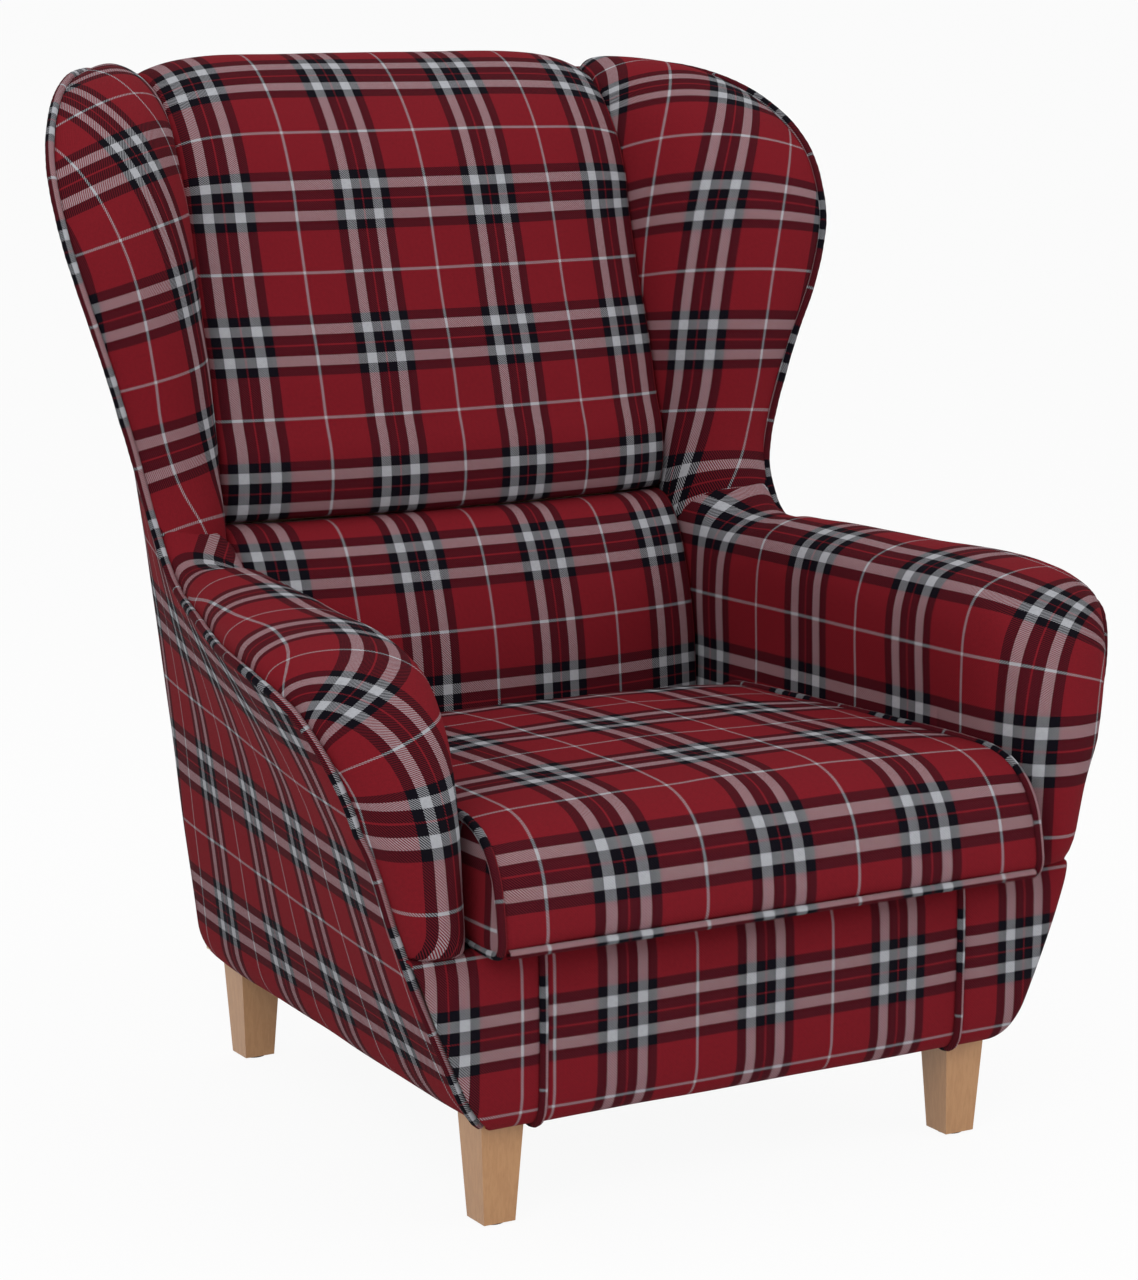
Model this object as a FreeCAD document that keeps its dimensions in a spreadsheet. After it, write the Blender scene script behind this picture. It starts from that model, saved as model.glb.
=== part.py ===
import FreeCAD, Part
import math
import os

from FreeCAD import Vector

# Upholstered fireside chair with wings, splayed padded arms, a loose boxed seat cushion
# and four square tapered beech legs. Millimetres, +Z up, the chair faces -Y and the
# origin is on the floor under the middle of its bounding box.
# "Depth" below is the distance behind the plane of the front border.

doc = FreeCAD.newDocument("fireside_chair")
sheet = doc.addObject("Spreadsheet::Sheet", "Sizes")

SIZES = [
    ("overall_height", 1052, "floor to the top of the back roll"),
    ("overall_depth", 874, "cushion nose to the foot of the top roll at the rear"),
    ("border_setback", 46.5, "front border behind the cushion nose"),
    ("body_floor", 98, "lowest edge of the upholstered body"),
    ("frame_floor", 112, "underside of the wooden frame"),
    ("frame_top", 252, "top edge of the seat rails"),
    ("rail", 20, "thickness of the seat rails"),
    ("cloth", 2, "upholstery fabric with its thin wadding"),
    ("wadding", 3, "wadding sewn to the cloth of the sides and back"),
    ("fit", 0.3, "clearance between soft pieces"),
    ("piping", 9, "diameter of the piping"),
    ("leg_foot", 33, "side of a leg at the floor"),
    ("leg_head", 46, "side of a leg under the frame"),
    ("glide", 2.5, "thickness of a leg glide"),
    ("front_leg_x", 262, "front leg from the middle"),
    ("front_leg_depth", 49, "front leg behind the border"),
    ("rear_leg_x", 229, "rear leg from the middle"),
    ("rear_leg_depth", 630, "rear leg behind the border"),
    ("bolt", 8, "diameter of a hanger bolt"),
    ("rear_half", 268, "rear corner of the body from the middle, at the bottom"),
    ("rear_half_top", 300, "rear corner of the body from the middle, at the wings"),
    ("back_foot", 675, "outside back behind the border, at the bottom"),
    ("back_lean", 0.163, "outside back, rearwards for each millimetre up"),
    ("splay_foot", 0.045, "side panel, outwards for each millimetre forwards, at the bottom"),
    ("splay_sill", 0.102, "the same at the seat rails"),
    ("splay_seat", 0.14, "the same under the seat cushion"),
    ("splay_nose", 0.18, "the same at the front of the arm"),
    ("splay_waist", 0.33, "the same where arm meets wing"),
    ("splay_ear", 0.44, "the same at the lower wing"),
    ("splay_wing", 0.68, "the same at the widest part of the wing"),
    ("arm_height", 531, "piping along the top of the arm"),
    ("nose_radius", 108, "rounding of the arm's front in side view"),
    ("nose_depth", 24, "front of the arm's piping behind the border"),
    ("arm_bulge", 36, "arm padding proud of the piping"),
    ("roll_deep", 45, "depth of the arm roll's padding"),
    ("waist_depth", 470, "end of the straight arm top behind the border"),
    ("waist_radius", 85, "hollow between arm and wing in side view"),
    ("wing_radius", 200, "rounding of the wing's top in side view"),
    ("back_half", 269.5, "inside back from the middle to its side"),
    ("seam_height", 580, "seam between the two inside back pads"),
    ("seam_depth", 581, "that seam behind the border"),
    ("lumbar_depth", 498, "front of the lower back pad behind the border"),
    ("back_crown", 31, "sides of the back pads behind their middle"),
    ("post_deep", 70, "rear post, front to back"),
    ("post_wide", 21, "rear post, side to side"),
    ("cushion_half", 300, "side of the seat cushion from the middle, at the front"),
    ("cushion_half_rear", 266, "side of the seat cushion from the middle, at the rear"),
    ("cushion_rise", 120, "height of the cushion at its sides"),
    ("cushion_crown", 9, "rise of its middle over its sides"),
    ("cushion_nose", 90, "rounding of its upper front edge"),
    ("spring_wire", 3.6, "diameter of the seat spring wire"),
]
for row, (alias, value, meaning) in enumerate(SIZES, start=1):
    sheet.set("A%d" % row, alias)
    sheet.set("B%d" % row, str(value))
    sheet.set("C%d" % row, meaning)
    sheet.setAlias("B%d" % row, alias)
doc.recompute()


def size(alias):
    return float(sheet.get(alias))


CLOTH = size("cloth")
WADDING = size("wadding")
FIT = size("fit")
PIPING_RADIUS = size("piping") / 2
BODY_FLOOR = size("body_floor")
FRAME_FLOOR = size("frame_floor")
FRAME_TOP = size("frame_top")
ARM_HEIGHT = size("arm_height")
NOSE_RADIUS = size("nose_radius")
NOSE_DEPTH = size("nose_depth")
WAIST_DEPTH = size("waist_depth")
WAIST_RADIUS = size("waist_radius")
WING_RADIUS = size("wing_radius")
SHELL = CLOTH + WADDING + 2 * FIT
BORDER_Y = -size("overall_depth") / 2 + size("border_setback")
WING_DEPTH = WAIST_DEPTH + WAIST_RADIUS
WING_TOP = size("overall_height") - 20
WING_SPRING = WING_TOP - WING_RADIUS
NOSE_SPRING = ARM_HEIGHT - 8 - NOSE_RADIUS
CUSHION_FLOOR = FRAME_TOP + 21
SIDES = (("left", -1), ("right", 1))
BORDER = "(-Sizes.overall_depth / 2 + Sizes.border_setback)"

pieces = []


def at(x, depth, z):
    return Vector(x, BORDER_Y + depth, z)


def keep(obj, label):
    obj.Label = label
    pieces.append(obj)
    return obj


def bind(obj, **expressions):
    for name, expression in expressions.items():
        obj.setExpression(name, expression)


def free_form(label, shape):
    obj = doc.addObject("Part::Feature", label)
    obj.Shape = shape
    obj.Placement = FreeCAD.Placement()
    return keep(obj, label)


# Shapes of the body, as functions of height

def through(stations, height):
    """Smooth value at a height, through (height, value) stations."""
    heights = [station[0] for station in stations]
    values = [station[1] for station in stations]
    last = len(stations) - 2
    step = 0
    while step < last and height > heights[step + 1]:
        step += 1

    def slope(i):
        low = max(i - 1, 0)
        high = min(i + 1, len(stations) - 1)
        return (values[high] - values[low]) / (heights[high] - heights[low])

    span = heights[step + 1] - heights[step]
    u = (height - heights[step]) / span
    return ((1 + 2 * u) * (1 - u) ** 2 * values[step]
            + u * (1 - u) ** 2 * span * slope(step)
            + u * u * (3 - 2 * u) * values[step + 1]
            - u * u * (1 - u) * span * slope(step + 1))


SPLAY = [
    (BODY_FLOOR, size("splay_foot")),
    (FRAME_TOP - 52, size("splay_sill")),
    (CUSHION_FLOOR + 17, size("splay_seat")),
    (NOSE_SPRING - 25, size("splay_nose")),
    (WAIST_RADIUS + ARM_HEIGHT - 56, size("splay_waist")),
    (WING_SPRING - 132, size("splay_ear")),
    (WING_TOP - 97, size("splay_wing")),
    (WING_TOP + 8, size("splay_wing") + 0.07),
]


def rear_depth(z):
    return size("back_foot") + size("back_lean") * (z - BODY_FLOOR)


def rear_half(z):
    rise = min(max((z - BODY_FLOOR) / (ARM_HEIGHT + 69), 0), 1)
    return size("rear_half") + rise * (size("rear_half_top") - size("rear_half"))


def side_half(depth, z):
    """Outer face of the side panel from the middle, drawn in a little at the arm's nose."""
    ahead = rear_depth(z) - depth
    nose_reach = max(0.55 * WAIST_DEPTH - depth, 0)
    fade = min(max((z - NOSE_SPRING + 25) / NOSE_RADIUS, 0), 1)
    return rear_half(z) + through(SPLAY, z) * ahead - 0.0006 * fade * nose_reach ** 2


def arm_front(z):
    """Depth of the arm's front edge in side view."""
    if z <= NOSE_SPRING:
        low = NOSE_DEPTH - 12
        return low + 12 * max(z - BODY_FLOOR, 0) / (NOSE_SPRING - BODY_FLOOR)
    rise = min(z - NOSE_SPRING, NOSE_RADIUS)
    return NOSE_DEPTH + NOSE_RADIUS - math.sqrt(NOSE_RADIUS ** 2 - rise ** 2)


def wing_front(z):
    """Depth of the wing's front edge in side view."""
    waist_top = ARM_HEIGHT + 2 + WAIST_RADIUS
    if z < waist_top:
        return WAIST_DEPTH + math.sqrt(max(WAIST_RADIUS ** 2 - (waist_top - z) ** 2, 0))
    if z <= WING_SPRING:
        return WING_DEPTH
    rise = min(z - WING_SPRING, WING_RADIUS)
    return WING_DEPTH + WING_RADIUS - math.sqrt(WING_RADIUS ** 2 - rise ** 2)


# Wires

def path(points, arcs):
    """Edges through points: arcs names the index of each arc's first point of three."""
    edges = []
    i = 0
    while i < len(points) - 1:
        if i in arcs:
            edges.append(Part.Arc(points[i], points[i + 1], points[i + 2]).toShape())
            i += 2
        else:
            edges.append(Part.makeLine(points[i], points[i + 1]))
            i += 1
    return edges


def ring(points, arcs=()):
    return Part.Wire(path(points + [points[0]], arcs))


def loft(rings, ruled=False):
    return Part.makeLoft(rings, True, ruled)


def turned(vector):
    return Vector(0, vector.z, -vector.y)


def inset_points(points, inset, normal_of=turned):
    """Points of an open line moved along their own left-hand normals."""
    moved = []
    for i, point in enumerate(points):
        before = points[max(i - 1, 0)]
        after = points[min(i + 1, len(points) - 1)]
        normal = normal_of(after - before)
        normal.normalize()
        moved.append(point + normal * inset)
    return moved


def mirrored(shape, side):
    if side > 0:
        return shape
    return shape.mirror(Vector(), Vector(1, 0, 0))


# Wooden members as wedges between two level or two upright rectangles

UPRIGHT = FreeCAD.Rotation(Vector(1, 1, 1), 120)


def across(side, inner, outer):
    if side > 0:
        return inner, outer
    return "-(%s)" % outer, "-(%s)" % inner


def upright(name, low, high, label=None):
    """Member between a low and a high rectangle (x0, x1, depth0, depth1, z)."""
    wedge = doc.addObject("Part::Wedge", name)
    bind(
        wedge,
        Zmin=low[0], Zmax=low[1],
        Xmin="%s + %s" % (BORDER, low[2]), Xmax="%s + %s" % (BORDER, low[3]),
        Ymin=low[4], Ymax=high[4],
        Z2min=high[0], Z2max=high[1],
        X2min="%s + %s" % (BORDER, high[2]), X2max="%s + %s" % (BORDER, high[3]),
    )
    wedge.Placement = FreeCAD.Placement(Vector(), UPRIGHT)
    return keep(wedge, label) if label else wedge


def cylinder(name, radius, height, x, depth, z):
    rod = doc.addObject("Part::Cylinder", name)
    bind(rod, Radius=radius, Height=height)
    bind(rod, **{
        "Placement.Base.x": x,
        "Placement.Base.y": "%s + %s" % (BORDER, depth),
        "Placement.Base.z": z,
    })
    return rod


def group(name, members, label):
    compound = doc.addObject("Part::Compound", name)
    compound.Links = members
    return keep(compound, label)


def cut(name, base, tool, label):
    result = doc.addObject("Part::Cut", name)
    result.Base = base
    result.Tool = tool
    return keep(result, label)


LEG_PLACES = [
    ("front_left", -1, "Sizes.front_leg_x", "Sizes.front_leg_depth"),
    ("front_right", 1, "Sizes.front_leg_x", "Sizes.front_leg_depth"),
    ("rear_left", -1, "Sizes.rear_leg_x", "Sizes.rear_leg_depth"),
    ("rear_right", 1, "Sizes.rear_leg_x", "Sizes.rear_leg_depth"),
]
LEG_TOP = "(Sizes.frame_floor - 1.3)"
BOLT_LOW = "(Sizes.frame_floor - 42)"


# Legs, glides, hanger bolts, tee nuts and corner blocks

glides = []
bolts = []
nuts = []
for place, side, leg_x, leg_depth in LEG_PLACES:
    x = "%d * %s" % (side, leg_x)
    foot = "Sizes.leg_foot / 2"
    head = "Sizes.leg_head / 2"
    body = upright(
        "leg_body_" + place,
        (x + " - " + foot, x + " + " + foot,
         leg_depth + " - " + foot, leg_depth + " + " + foot, "Sizes.glide"),
        (x + " - " + head, x + " + " + head,
         leg_depth + " - " + head, leg_depth + " + " + head, LEG_TOP),
    )
    pilot = cylinder("pilot_" + place, "Sizes.bolt / 2 + 0.1", "60",
                     x, leg_depth, BOLT_LOW + " - 2")
    cut("leg_" + place, body, pilot, "leg_" + place)
    glides.append(cylinder("glide_" + place, "Sizes.leg_foot / 2 - 4", "Sizes.glide",
                           x, leg_depth, "0"))
    bolts.append(cylinder("bolt_" + place, "Sizes.bolt / 2", "72", x, leg_depth, BOLT_LOW))
    flange = cylinder("nut_flange_" + place, "Sizes.bolt * 1.4", "1.6",
                      x, leg_depth, "Sizes.frame_floor + 30.2")
    barrel = cylinder("nut_barrel_" + place, "Sizes.bolt / 2 + 1.2", "14",
                      x, leg_depth, "Sizes.frame_floor + 16.3")
    thread = cylinder("nut_thread_" + place, "Sizes.bolt / 2 + 0.1", "40",
                      x, leg_depth, "Sizes.frame_floor + 10")
    solid_nut = doc.addObject("Part::Fuse", "nut_solid_" + place)
    solid_nut.Base = flange
    solid_nut.Tool = barrel
    nut = doc.addObject("Part::Cut", "nut_" + place)
    nut.Base = solid_nut
    nut.Tool = thread
    nuts.append(nut)
group("glides", glides, "leg_glides")
group("bolts", bolts, "hanger_bolts")
group("nuts", nuts, "tee_nuts")

BLOCK_TOP = "Sizes.frame_floor + 30"
SHELL_SIZE = "(Sizes.cloth + Sizes.wadding + 2 * Sizes.fit)"
SIDE_FOOT = "(Sizes.rear_half - %s)" % SHELL_SIZE
FRONT_FOOT = "(Sizes.rear_half + Sizes.splay_foot * Sizes.back_foot - %s - 1)" % SHELL_SIZE
FRONT_RAIL_REAR = "(%s + 2 + Sizes.rail)" % SHELL_SIZE


def rear_at(height):
    return "(Sizes.back_foot + Sizes.back_lean * (%s - Sizes.body_floor) - %s)" % (
        height, SHELL_SIZE)


REAR_POST_TOP = "(Sizes.overall_height - 62)"


for place, side, leg_x, leg_depth in LEG_PLACES:
    if place.startswith("front"):
        outer = "%s - Sizes.rail - 0.3" % FRONT_FOOT
        near = FRONT_RAIL_REAR + " + 0.3"
        far = leg_depth + " + 45"
    else:
        outer = "%s - Sizes.post_wide - 0.3" % SIDE_FOOT
        near = leg_depth + " - 45"
        far = rear_at("Sizes.frame_floor") + " - Sizes.rail - 0.3"
    x0, x1 = across(side, leg_x + " - 45", outer)
    block = upright("block_body_" + place,
                    (x0, x1, near, far, "Sizes.frame_floor"),
                    (x0, x1, near, far, BLOCK_TOP))
    hole = cylinder("block_hole_" + place, "Sizes.bolt / 2 + 1.4", "60",
                    "%d * %s" % (side, leg_x), leg_depth, "Sizes.frame_floor - 10")
    cut("corner_block_" + place, block, hole, "corner_block_" + place)


# Rails and rear posts that stand square

POST_INNER = "(%s - Sizes.post_wide)" % SIDE_FOOT
POST_SPREAD = "(Sizes.rear_half_top - Sizes.rear_half)"


def post_inner_at(height):
    """Inner face of a rear post: the posts spread a little towards the top."""
    return "(%s + %s * (%s - Sizes.frame_floor) / (%s - Sizes.frame_floor))" % (
        POST_INNER, POST_SPREAD, height, REAR_POST_TOP)


RAIL_FRONT = SHELL_SIZE + " + 2"
upright("front_rail",
        ("-" + FRONT_FOOT, FRONT_FOOT, RAIL_FRONT, FRONT_RAIL_REAR, "Sizes.frame_floor"),
        ("-%s - 54" % FRONT_FOOT, FRONT_FOOT + " + 54", RAIL_FRONT, FRONT_RAIL_REAR,
         "Sizes.frame_top"),
        "front_rail")

REAR_RAIL = ("-%s + 0.3" % POST_INNER, "%s - 0.3" % POST_INNER,
             rear_at("Sizes.frame_floor") + " - Sizes.rail", rear_at("Sizes.frame_floor"))
upright("rear_rail", REAR_RAIL + ("Sizes.frame_floor",), REAR_RAIL + ("Sizes.frame_top",),
        "rear_rail")

for place, side in SIDES:
    ends = []
    for height in ("Sizes.frame_floor", REAR_POST_TOP):
        inner = post_inner_at(height)
        x0, x1 = across(side, inner, inner + " + Sizes.post_wide")
        ends.append((x0, x1, rear_at(height) + " - Sizes.post_deep", rear_at(height), height))
    upright("rear_post_" + place, ends[0], ends[1], "rear_post_" + place)


def back_rail(label, low, high, setback):
    """Board between the rear posts, its front this far behind theirs."""
    ends = []
    for height in (low, high):
        half = post_inner_at(height) + " - 0.3"
        front = rear_at(height) + " - Sizes.post_deep + %d" % setback
        ends.append(("-%s + 0.3" % post_inner_at(height), half,
                     front, front + " + Sizes.rail", height))
    upright(label, ends[0], ends[1], label)


back_rail("back_top_rail", "(Sizes.overall_height - 122)", "(Sizes.overall_height - 67)", 50)
back_rail("back_seam_rail", "(Sizes.seam_height - 22)", "(Sizes.seam_height + 28)", 0)
back_rail("back_lower_rail", "(Sizes.frame_top + 38)", "(Sizes.frame_top + 88)", 0)


# Frame members that lean with the side panels

POST_TOP_Z = size("overall_height") - 62
FRAME_INSET = SHELL + 2
ARM_RAIL_TOP = NOSE_SPRING + NOSE_RADIUS - size("roll_deep") - 0.5
ARM_RAIL_LOW = ARM_RAIL_TOP - 33
NUT_TOP = FRAME_FLOOR + 34
NOSE_CENTRE = NOSE_DEPTH + NOSE_RADIUS


def post_outer(z):
    spread = size("rear_half_top") - size("rear_half")
    return size("rear_half") - SHELL + spread * (z - FRAME_FLOOR) / (POST_TOP_Z - FRAME_FLOOR)


def post_front(z):
    return rear_depth(z) - SHELL - size("post_deep")


def both_sides(label, shape):
    for place, side in SIDES:
        free_form(label + "_" + place, mirrored(shape, side))


def level_ring(front, rear, z, thick, extra):
    """Level quadrilateral behind the side panel."""
    outer_front = side_half(front, z) - FRAME_INSET - extra
    outer_rear = side_half(rear, z) - FRAME_INSET - extra
    return ring([at(outer_front, front, z), at(outer_rear, rear, z),
                 at(outer_rear - thick, rear, z), at(outer_front - thick, front, z)])


def upright_ring(depth, low, high, thick):
    """Quadrilateral across the chair, leaning with the side panel."""
    outer_low = side_half(depth, low) - FRAME_INSET
    outer_high = side_half(depth, high) - FRAME_INSET
    return ring([at(outer_low, depth, low), at(outer_high, depth, high),
                 at(outer_high - thick, depth, high), at(outer_low - thick, depth, low)])


RAIL_BACK = SHELL + 2 + size("rail") + 0.6
POST_REAR = RAIL_BACK + 37
post_share = (FRAME_TOP - NUT_TOP) / (ARM_RAIL_LOW - NUT_TOP)
rail_start = POST_REAR + post_share * (NOSE_CENTRE - 5 - POST_REAR) + 0.5
both_sides("side_rail", loft([
    upright_ring(rail_start, FRAME_FLOOR, FRAME_TOP, 18),
    upright_ring(post_front(FRAME_FLOOR) - 1, FRAME_FLOOR, FRAME_TOP, 18),
], ruled=True))
both_sides("front_post", loft([
    level_ring(RAIL_BACK, POST_REAR, NUT_TOP, 30, 2),
    level_ring(NOSE_CENTRE - 40, NOSE_CENTRE - 5, ARM_RAIL_LOW - 0.3, 30, 6),
], ruled=True))
both_sides("arm_rail", loft([
    upright_ring(NOSE_CENTRE - 38, ARM_RAIL_LOW, ARM_RAIL_TOP - 14, 27),
    upright_ring(NOSE_CENTRE - 6, ARM_RAIL_LOW, ARM_RAIL_TOP - 0.5, 27),
    upright_ring(post_front(ARM_RAIL_LOW) - 1, ARM_RAIL_LOW, ARM_RAIL_TOP - 0.5, 27),
], ruled=True))

BOARD = 12
BOARD_SETBACK = 45
WING_LEVELS = [ARM_HEIGHT + 36, ARM_HEIGHT + 80, WING_SPRING - 190, WING_SPRING - 130,
               WING_SPRING - 65, WING_SPRING]
for rise in (0.25, 0.45, 0.62, 0.77):
    WING_LEVELS.append(WING_SPRING + rise * WING_RADIUS)


def board_line(z):
    """Depth and outer face of the wing board at its front and its rear edge."""
    front = wing_front(z) + BOARD_SETBACK
    behind = (post_outer(z) + FIT + BOARD + FRAME_INSET - rear_half(z)) / through(SPLAY, z)
    rear = rear_depth(z) - behind
    return (front, side_half(front, z) - FRAME_INSET), (rear, side_half(rear, z) - FRAME_INSET)


def board_inner(depth, z):
    (front, outer_front), (rear, outer_rear) = board_line(z)
    share = (depth - front) / (rear - front)
    return outer_front + share * (outer_rear - outer_front) - BOARD


board_rings = []
for z in WING_LEVELS:
    (front, outer_front), (rear, outer_rear) = board_line(z)
    board_rings.append(ring([
        at(outer_front, front, z), at(outer_rear, rear, z),
        at(outer_rear - BOARD, rear, z), at(outer_front - BOARD, front, z)]))
both_sides("wing_board", loft(board_rings, ruled=True))


# Seat springs, clips, webbing, deck and dust cover

WIRE = size("spring_wire") / 2
WIRE_Z = FRAME_TOP + 4
SPRING_FRONT = RAIL_BACK - 12
SPRING_REAR = rear_depth(FRAME_FLOOR) - SHELL - size("rail") / 2
BEND = 11
BAR = 13


def spring(x):
    """Sinuous spring: cross bars joined by round bends, as one tube."""
    count = int((SPRING_REAR - SPRING_FRONT) / (2 * BEND))
    pitch = (SPRING_REAR - SPRING_FRONT) / count
    bend = pitch / 2
    slant = bend * math.sqrt(0.5)
    points = [at(x - BAR, SPRING_FRONT, WIRE_Z)]
    arcs = []
    for i in range(count):
        side = 1 if i % 2 == 0 else -1
        depth = SPRING_FRONT + i * pitch
        edge = x + side * BAR
        arcs.append(len(points))
        points.append(at(edge, depth, WIRE_Z))
        points.append(at(edge + side * slant, depth + bend - slant, WIRE_Z))
        points.append(at(edge + side * bend, depth + bend, WIRE_Z))
        arcs.append(len(points) - 1)
        points.append(at(edge + side * slant, depth + bend + slant, WIRE_Z))
        points.append(at(edge, depth + pitch, WIRE_Z))
    last = 1 if count % 2 else -1
    points.append(at(x - last * BAR, SPRING_REAR, WIRE_Z))
    spine = Part.Wire(path(points, arcs))
    start = Part.Wire([Part.Circle(points[0], Vector(1, 0, 0), WIRE).toShape()])
    return spine.makePipeShell([start], True, False)


def clip(x, depth):
    """Plate with an eye for the end bar of a spring."""
    eye = Part.makeCylinder(WIRE + 1.6, 12, at(x - 6, depth, WIRE_Z), Vector(1, 0, 0))
    plate = Part.makeBox(12, 14, 1.6, at(x - 6, depth - 7, FRAME_TOP + 0.2))
    bore = Part.makeCylinder(WIRE + 0.1, 12, at(x - 6, depth, WIRE_Z), Vector(1, 0, 0))
    return eye.fuse(plate).cut(bore)


SPRING_X = [-216, -108, 0, 108, 216]
free_form("seat_springs", Part.Compound([spring(x) for x in SPRING_X]))
free_form("spring_clips", Part.Compound(
    [clip(x, depth) for x in SPRING_X for depth in (SPRING_FRONT, SPRING_REAR)]))


def strap(z, tall):
    """Webbing strap across the fronts of the rear posts."""
    rings = []
    for height in (z, z + tall):
        half = post_outer(height) - 1
        front = post_front(height) - 2.3
        rings.append(ring([at(-half, front, height), at(half, front, height),
                           at(half, front + 2, height), at(-half, front + 2, height)]))
    return loft(rings, ruled=True)


STRAP_ZONE = POST_TOP_Z - 60 - FRAME_TOP - 100
free_form("back_webbing", Part.Compound(
    [strap(FRAME_TOP + 100 + share * STRAP_ZONE, 50)
     for share in (0.02, 0.2, 0.42, 0.58, 0.75, 0.9)]))

DECK_FRONT = 9
DECK_REAR = post_front(FRAME_TOP) - 3


def inner_half(depth):
    """Inside face of the arm, from the middle."""
    share = min(max((depth - 20) / 500, 0), 1)
    front = size("cushion_half")
    return front + 5.5 - share * (front - size("cushion_half_rear"))


def deck(label, low, high, front=DECK_FRONT):
    half_front = inner_half(front) + 8
    half_rear = inner_half(DECK_REAR) - 1
    rings = []
    for z in (low, high):
        rings.append(ring([at(-half_front, front, z), at(half_front, front, z),
                           at(half_rear, DECK_REAR, z), at(-half_rear, DECK_REAR, z)]))
    free_form(label, loft(rings, ruled=True))


SPRING_TOP = WIRE_Z + WIRE + 1.7
deck("deck_felt", SPRING_TOP, SPRING_TOP + 3)
deck("deck_pad", SPRING_TOP + 3.2, CUSHION_FLOOR - 2.4)
deck("deck_cloth", CUSHION_FLOOR - 2.1, CUSHION_FLOOR - 0.3, front=42)

dust_front = 39.5
dust_rear = rear_depth(FRAME_FLOOR) - SHELL - 3
half_front = side_half(dust_front, FRAME_FLOOR) - SHELL - 3
half_rear = side_half(dust_rear, FRAME_FLOOR) - SHELL - 3
dust_floor = FRAME_FLOOR - 1.1
dust = Part.Face(ring([
    at(-half_front, dust_front, dust_floor), at(half_front, dust_front, dust_floor),
    at(half_rear, dust_rear, dust_floor), at(-half_rear, dust_rear, dust_floor),
])).extrude(Vector(0, 0, 0.9))
for side in (-1, 1):
    for x, depth in ((size("front_leg_x"), size("front_leg_depth")),
                     (size("rear_leg_x"), size("rear_leg_depth"))):
        dust = dust.cut(Part.makeCylinder(size("bolt") / 2 + 1, 4,
                                          at(side * x, depth, FRAME_FLOOR - 3)))
free_form("dust_cover", dust)


# Front border, its corners and welts

BORDER_TOP = CUSHION_FLOOR - 1
BORDER_ROUND = 22
WELT_X = size("rear_leg_x") + 5
UNDERSIDE = FRAME_FLOOR - 1.4


def border_line(inset):
    """Front of the body in side view, rounded under at the bottom."""
    low = BODY_FLOOR + inset
    bend = BORDER_ROUND - inset
    slant = bend * (1 - math.sqrt(0.5))
    return [(inset, BORDER_TOP), (inset, low + bend),
            (inset + slant, low + slant), (inset + bend, low)]


def border_strip(tail):
    """Closed outline of the cloth that wraps under the body."""
    outer = border_line(0)
    inner = border_line(CLOTH)
    tail_outer = [(BORDER_ROUND + 16, UNDERSIDE - CLOTH)] if tail else []
    tail_inner = [(BORDER_ROUND + 16, UNDERSIDE)] if tail else []
    line = outer + tail_outer + tail_inner + inner[::-1]
    skip = 2 if tail else 0
    return line, [1, 4 + skip]


def border_ring(x, line, arcs):
    return ring([at(x, depth, z) for depth, z in line], arcs)


line, arcs = border_strip(True)
edge = WELT_X - PIPING_RADIUS - FIT
free_form("front_border_cover", loft([border_ring(-edge, line, arcs),
                                      border_ring(edge, line, arcs)], ruled=True))

pad_front = CLOTH + FIT
pad_back = SHELL + 2 - FIT
pad_rings = []
for z in (BODY_FLOOR + BORDER_ROUND + 4, BORDER_TOP - 4):
    half = side_half(pad_back, z) - SHELL - 10
    pad_rings.append(ring([at(-half, pad_front, z), at(half, pad_front, z),
                           at(half, pad_back, z), at(-half, pad_back, z)]))
border_pad = loft(pad_rings, ruled=True)
groove = PIPING_RADIUS + 2 * FIT
for side in (-1, 1):
    border_pad = border_pad.cut(Part.makeBox(
        2 * groove, 9, FRAME_TOP, at(side * WELT_X - groove, groove - 8.4, BODY_FLOOR)))
free_form("front_border_pad", border_pad)

line, arcs = border_strip(False)
corner_inner = WELT_X + PIPING_RADIUS + FIT
corner_face = Part.Face(border_ring(corner_inner, line, arcs))
corner_sheet = corner_face.extrude(Vector(200, 0, 0))
corner_rings = []
for z in (BODY_FLOOR - 1, BODY_FLOOR + 50, FRAME_TOP - 52, FRAME_TOP, CUSHION_FLOOR + 4):
    half = side_half(NOSE_DEPTH - 6, z) - PIPING_RADIUS - 6
    corner_rings.append(ring([at(0, -5, z), at(half, -5, z), at(half, 45, z), at(0, 45, z)]))
both_sides("corner_cover", corner_sheet.common(loft(corner_rings, ruled=True)))


# Side panels, outside back and the piping along the outline

INSET = PIPING_RADIUS + 1.5
PANEL = CLOTH + WADDING
WAIST_TOP = ARM_HEIGHT + 2 + WAIST_RADIUS


def quarter(centre, radius, shares):
    """Heights up a quarter circle with its depth behind the foot of the circle's middle."""
    return [(centre + share * radius, radius * math.sqrt(1 - share ** 2)) for share in shares]


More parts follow.
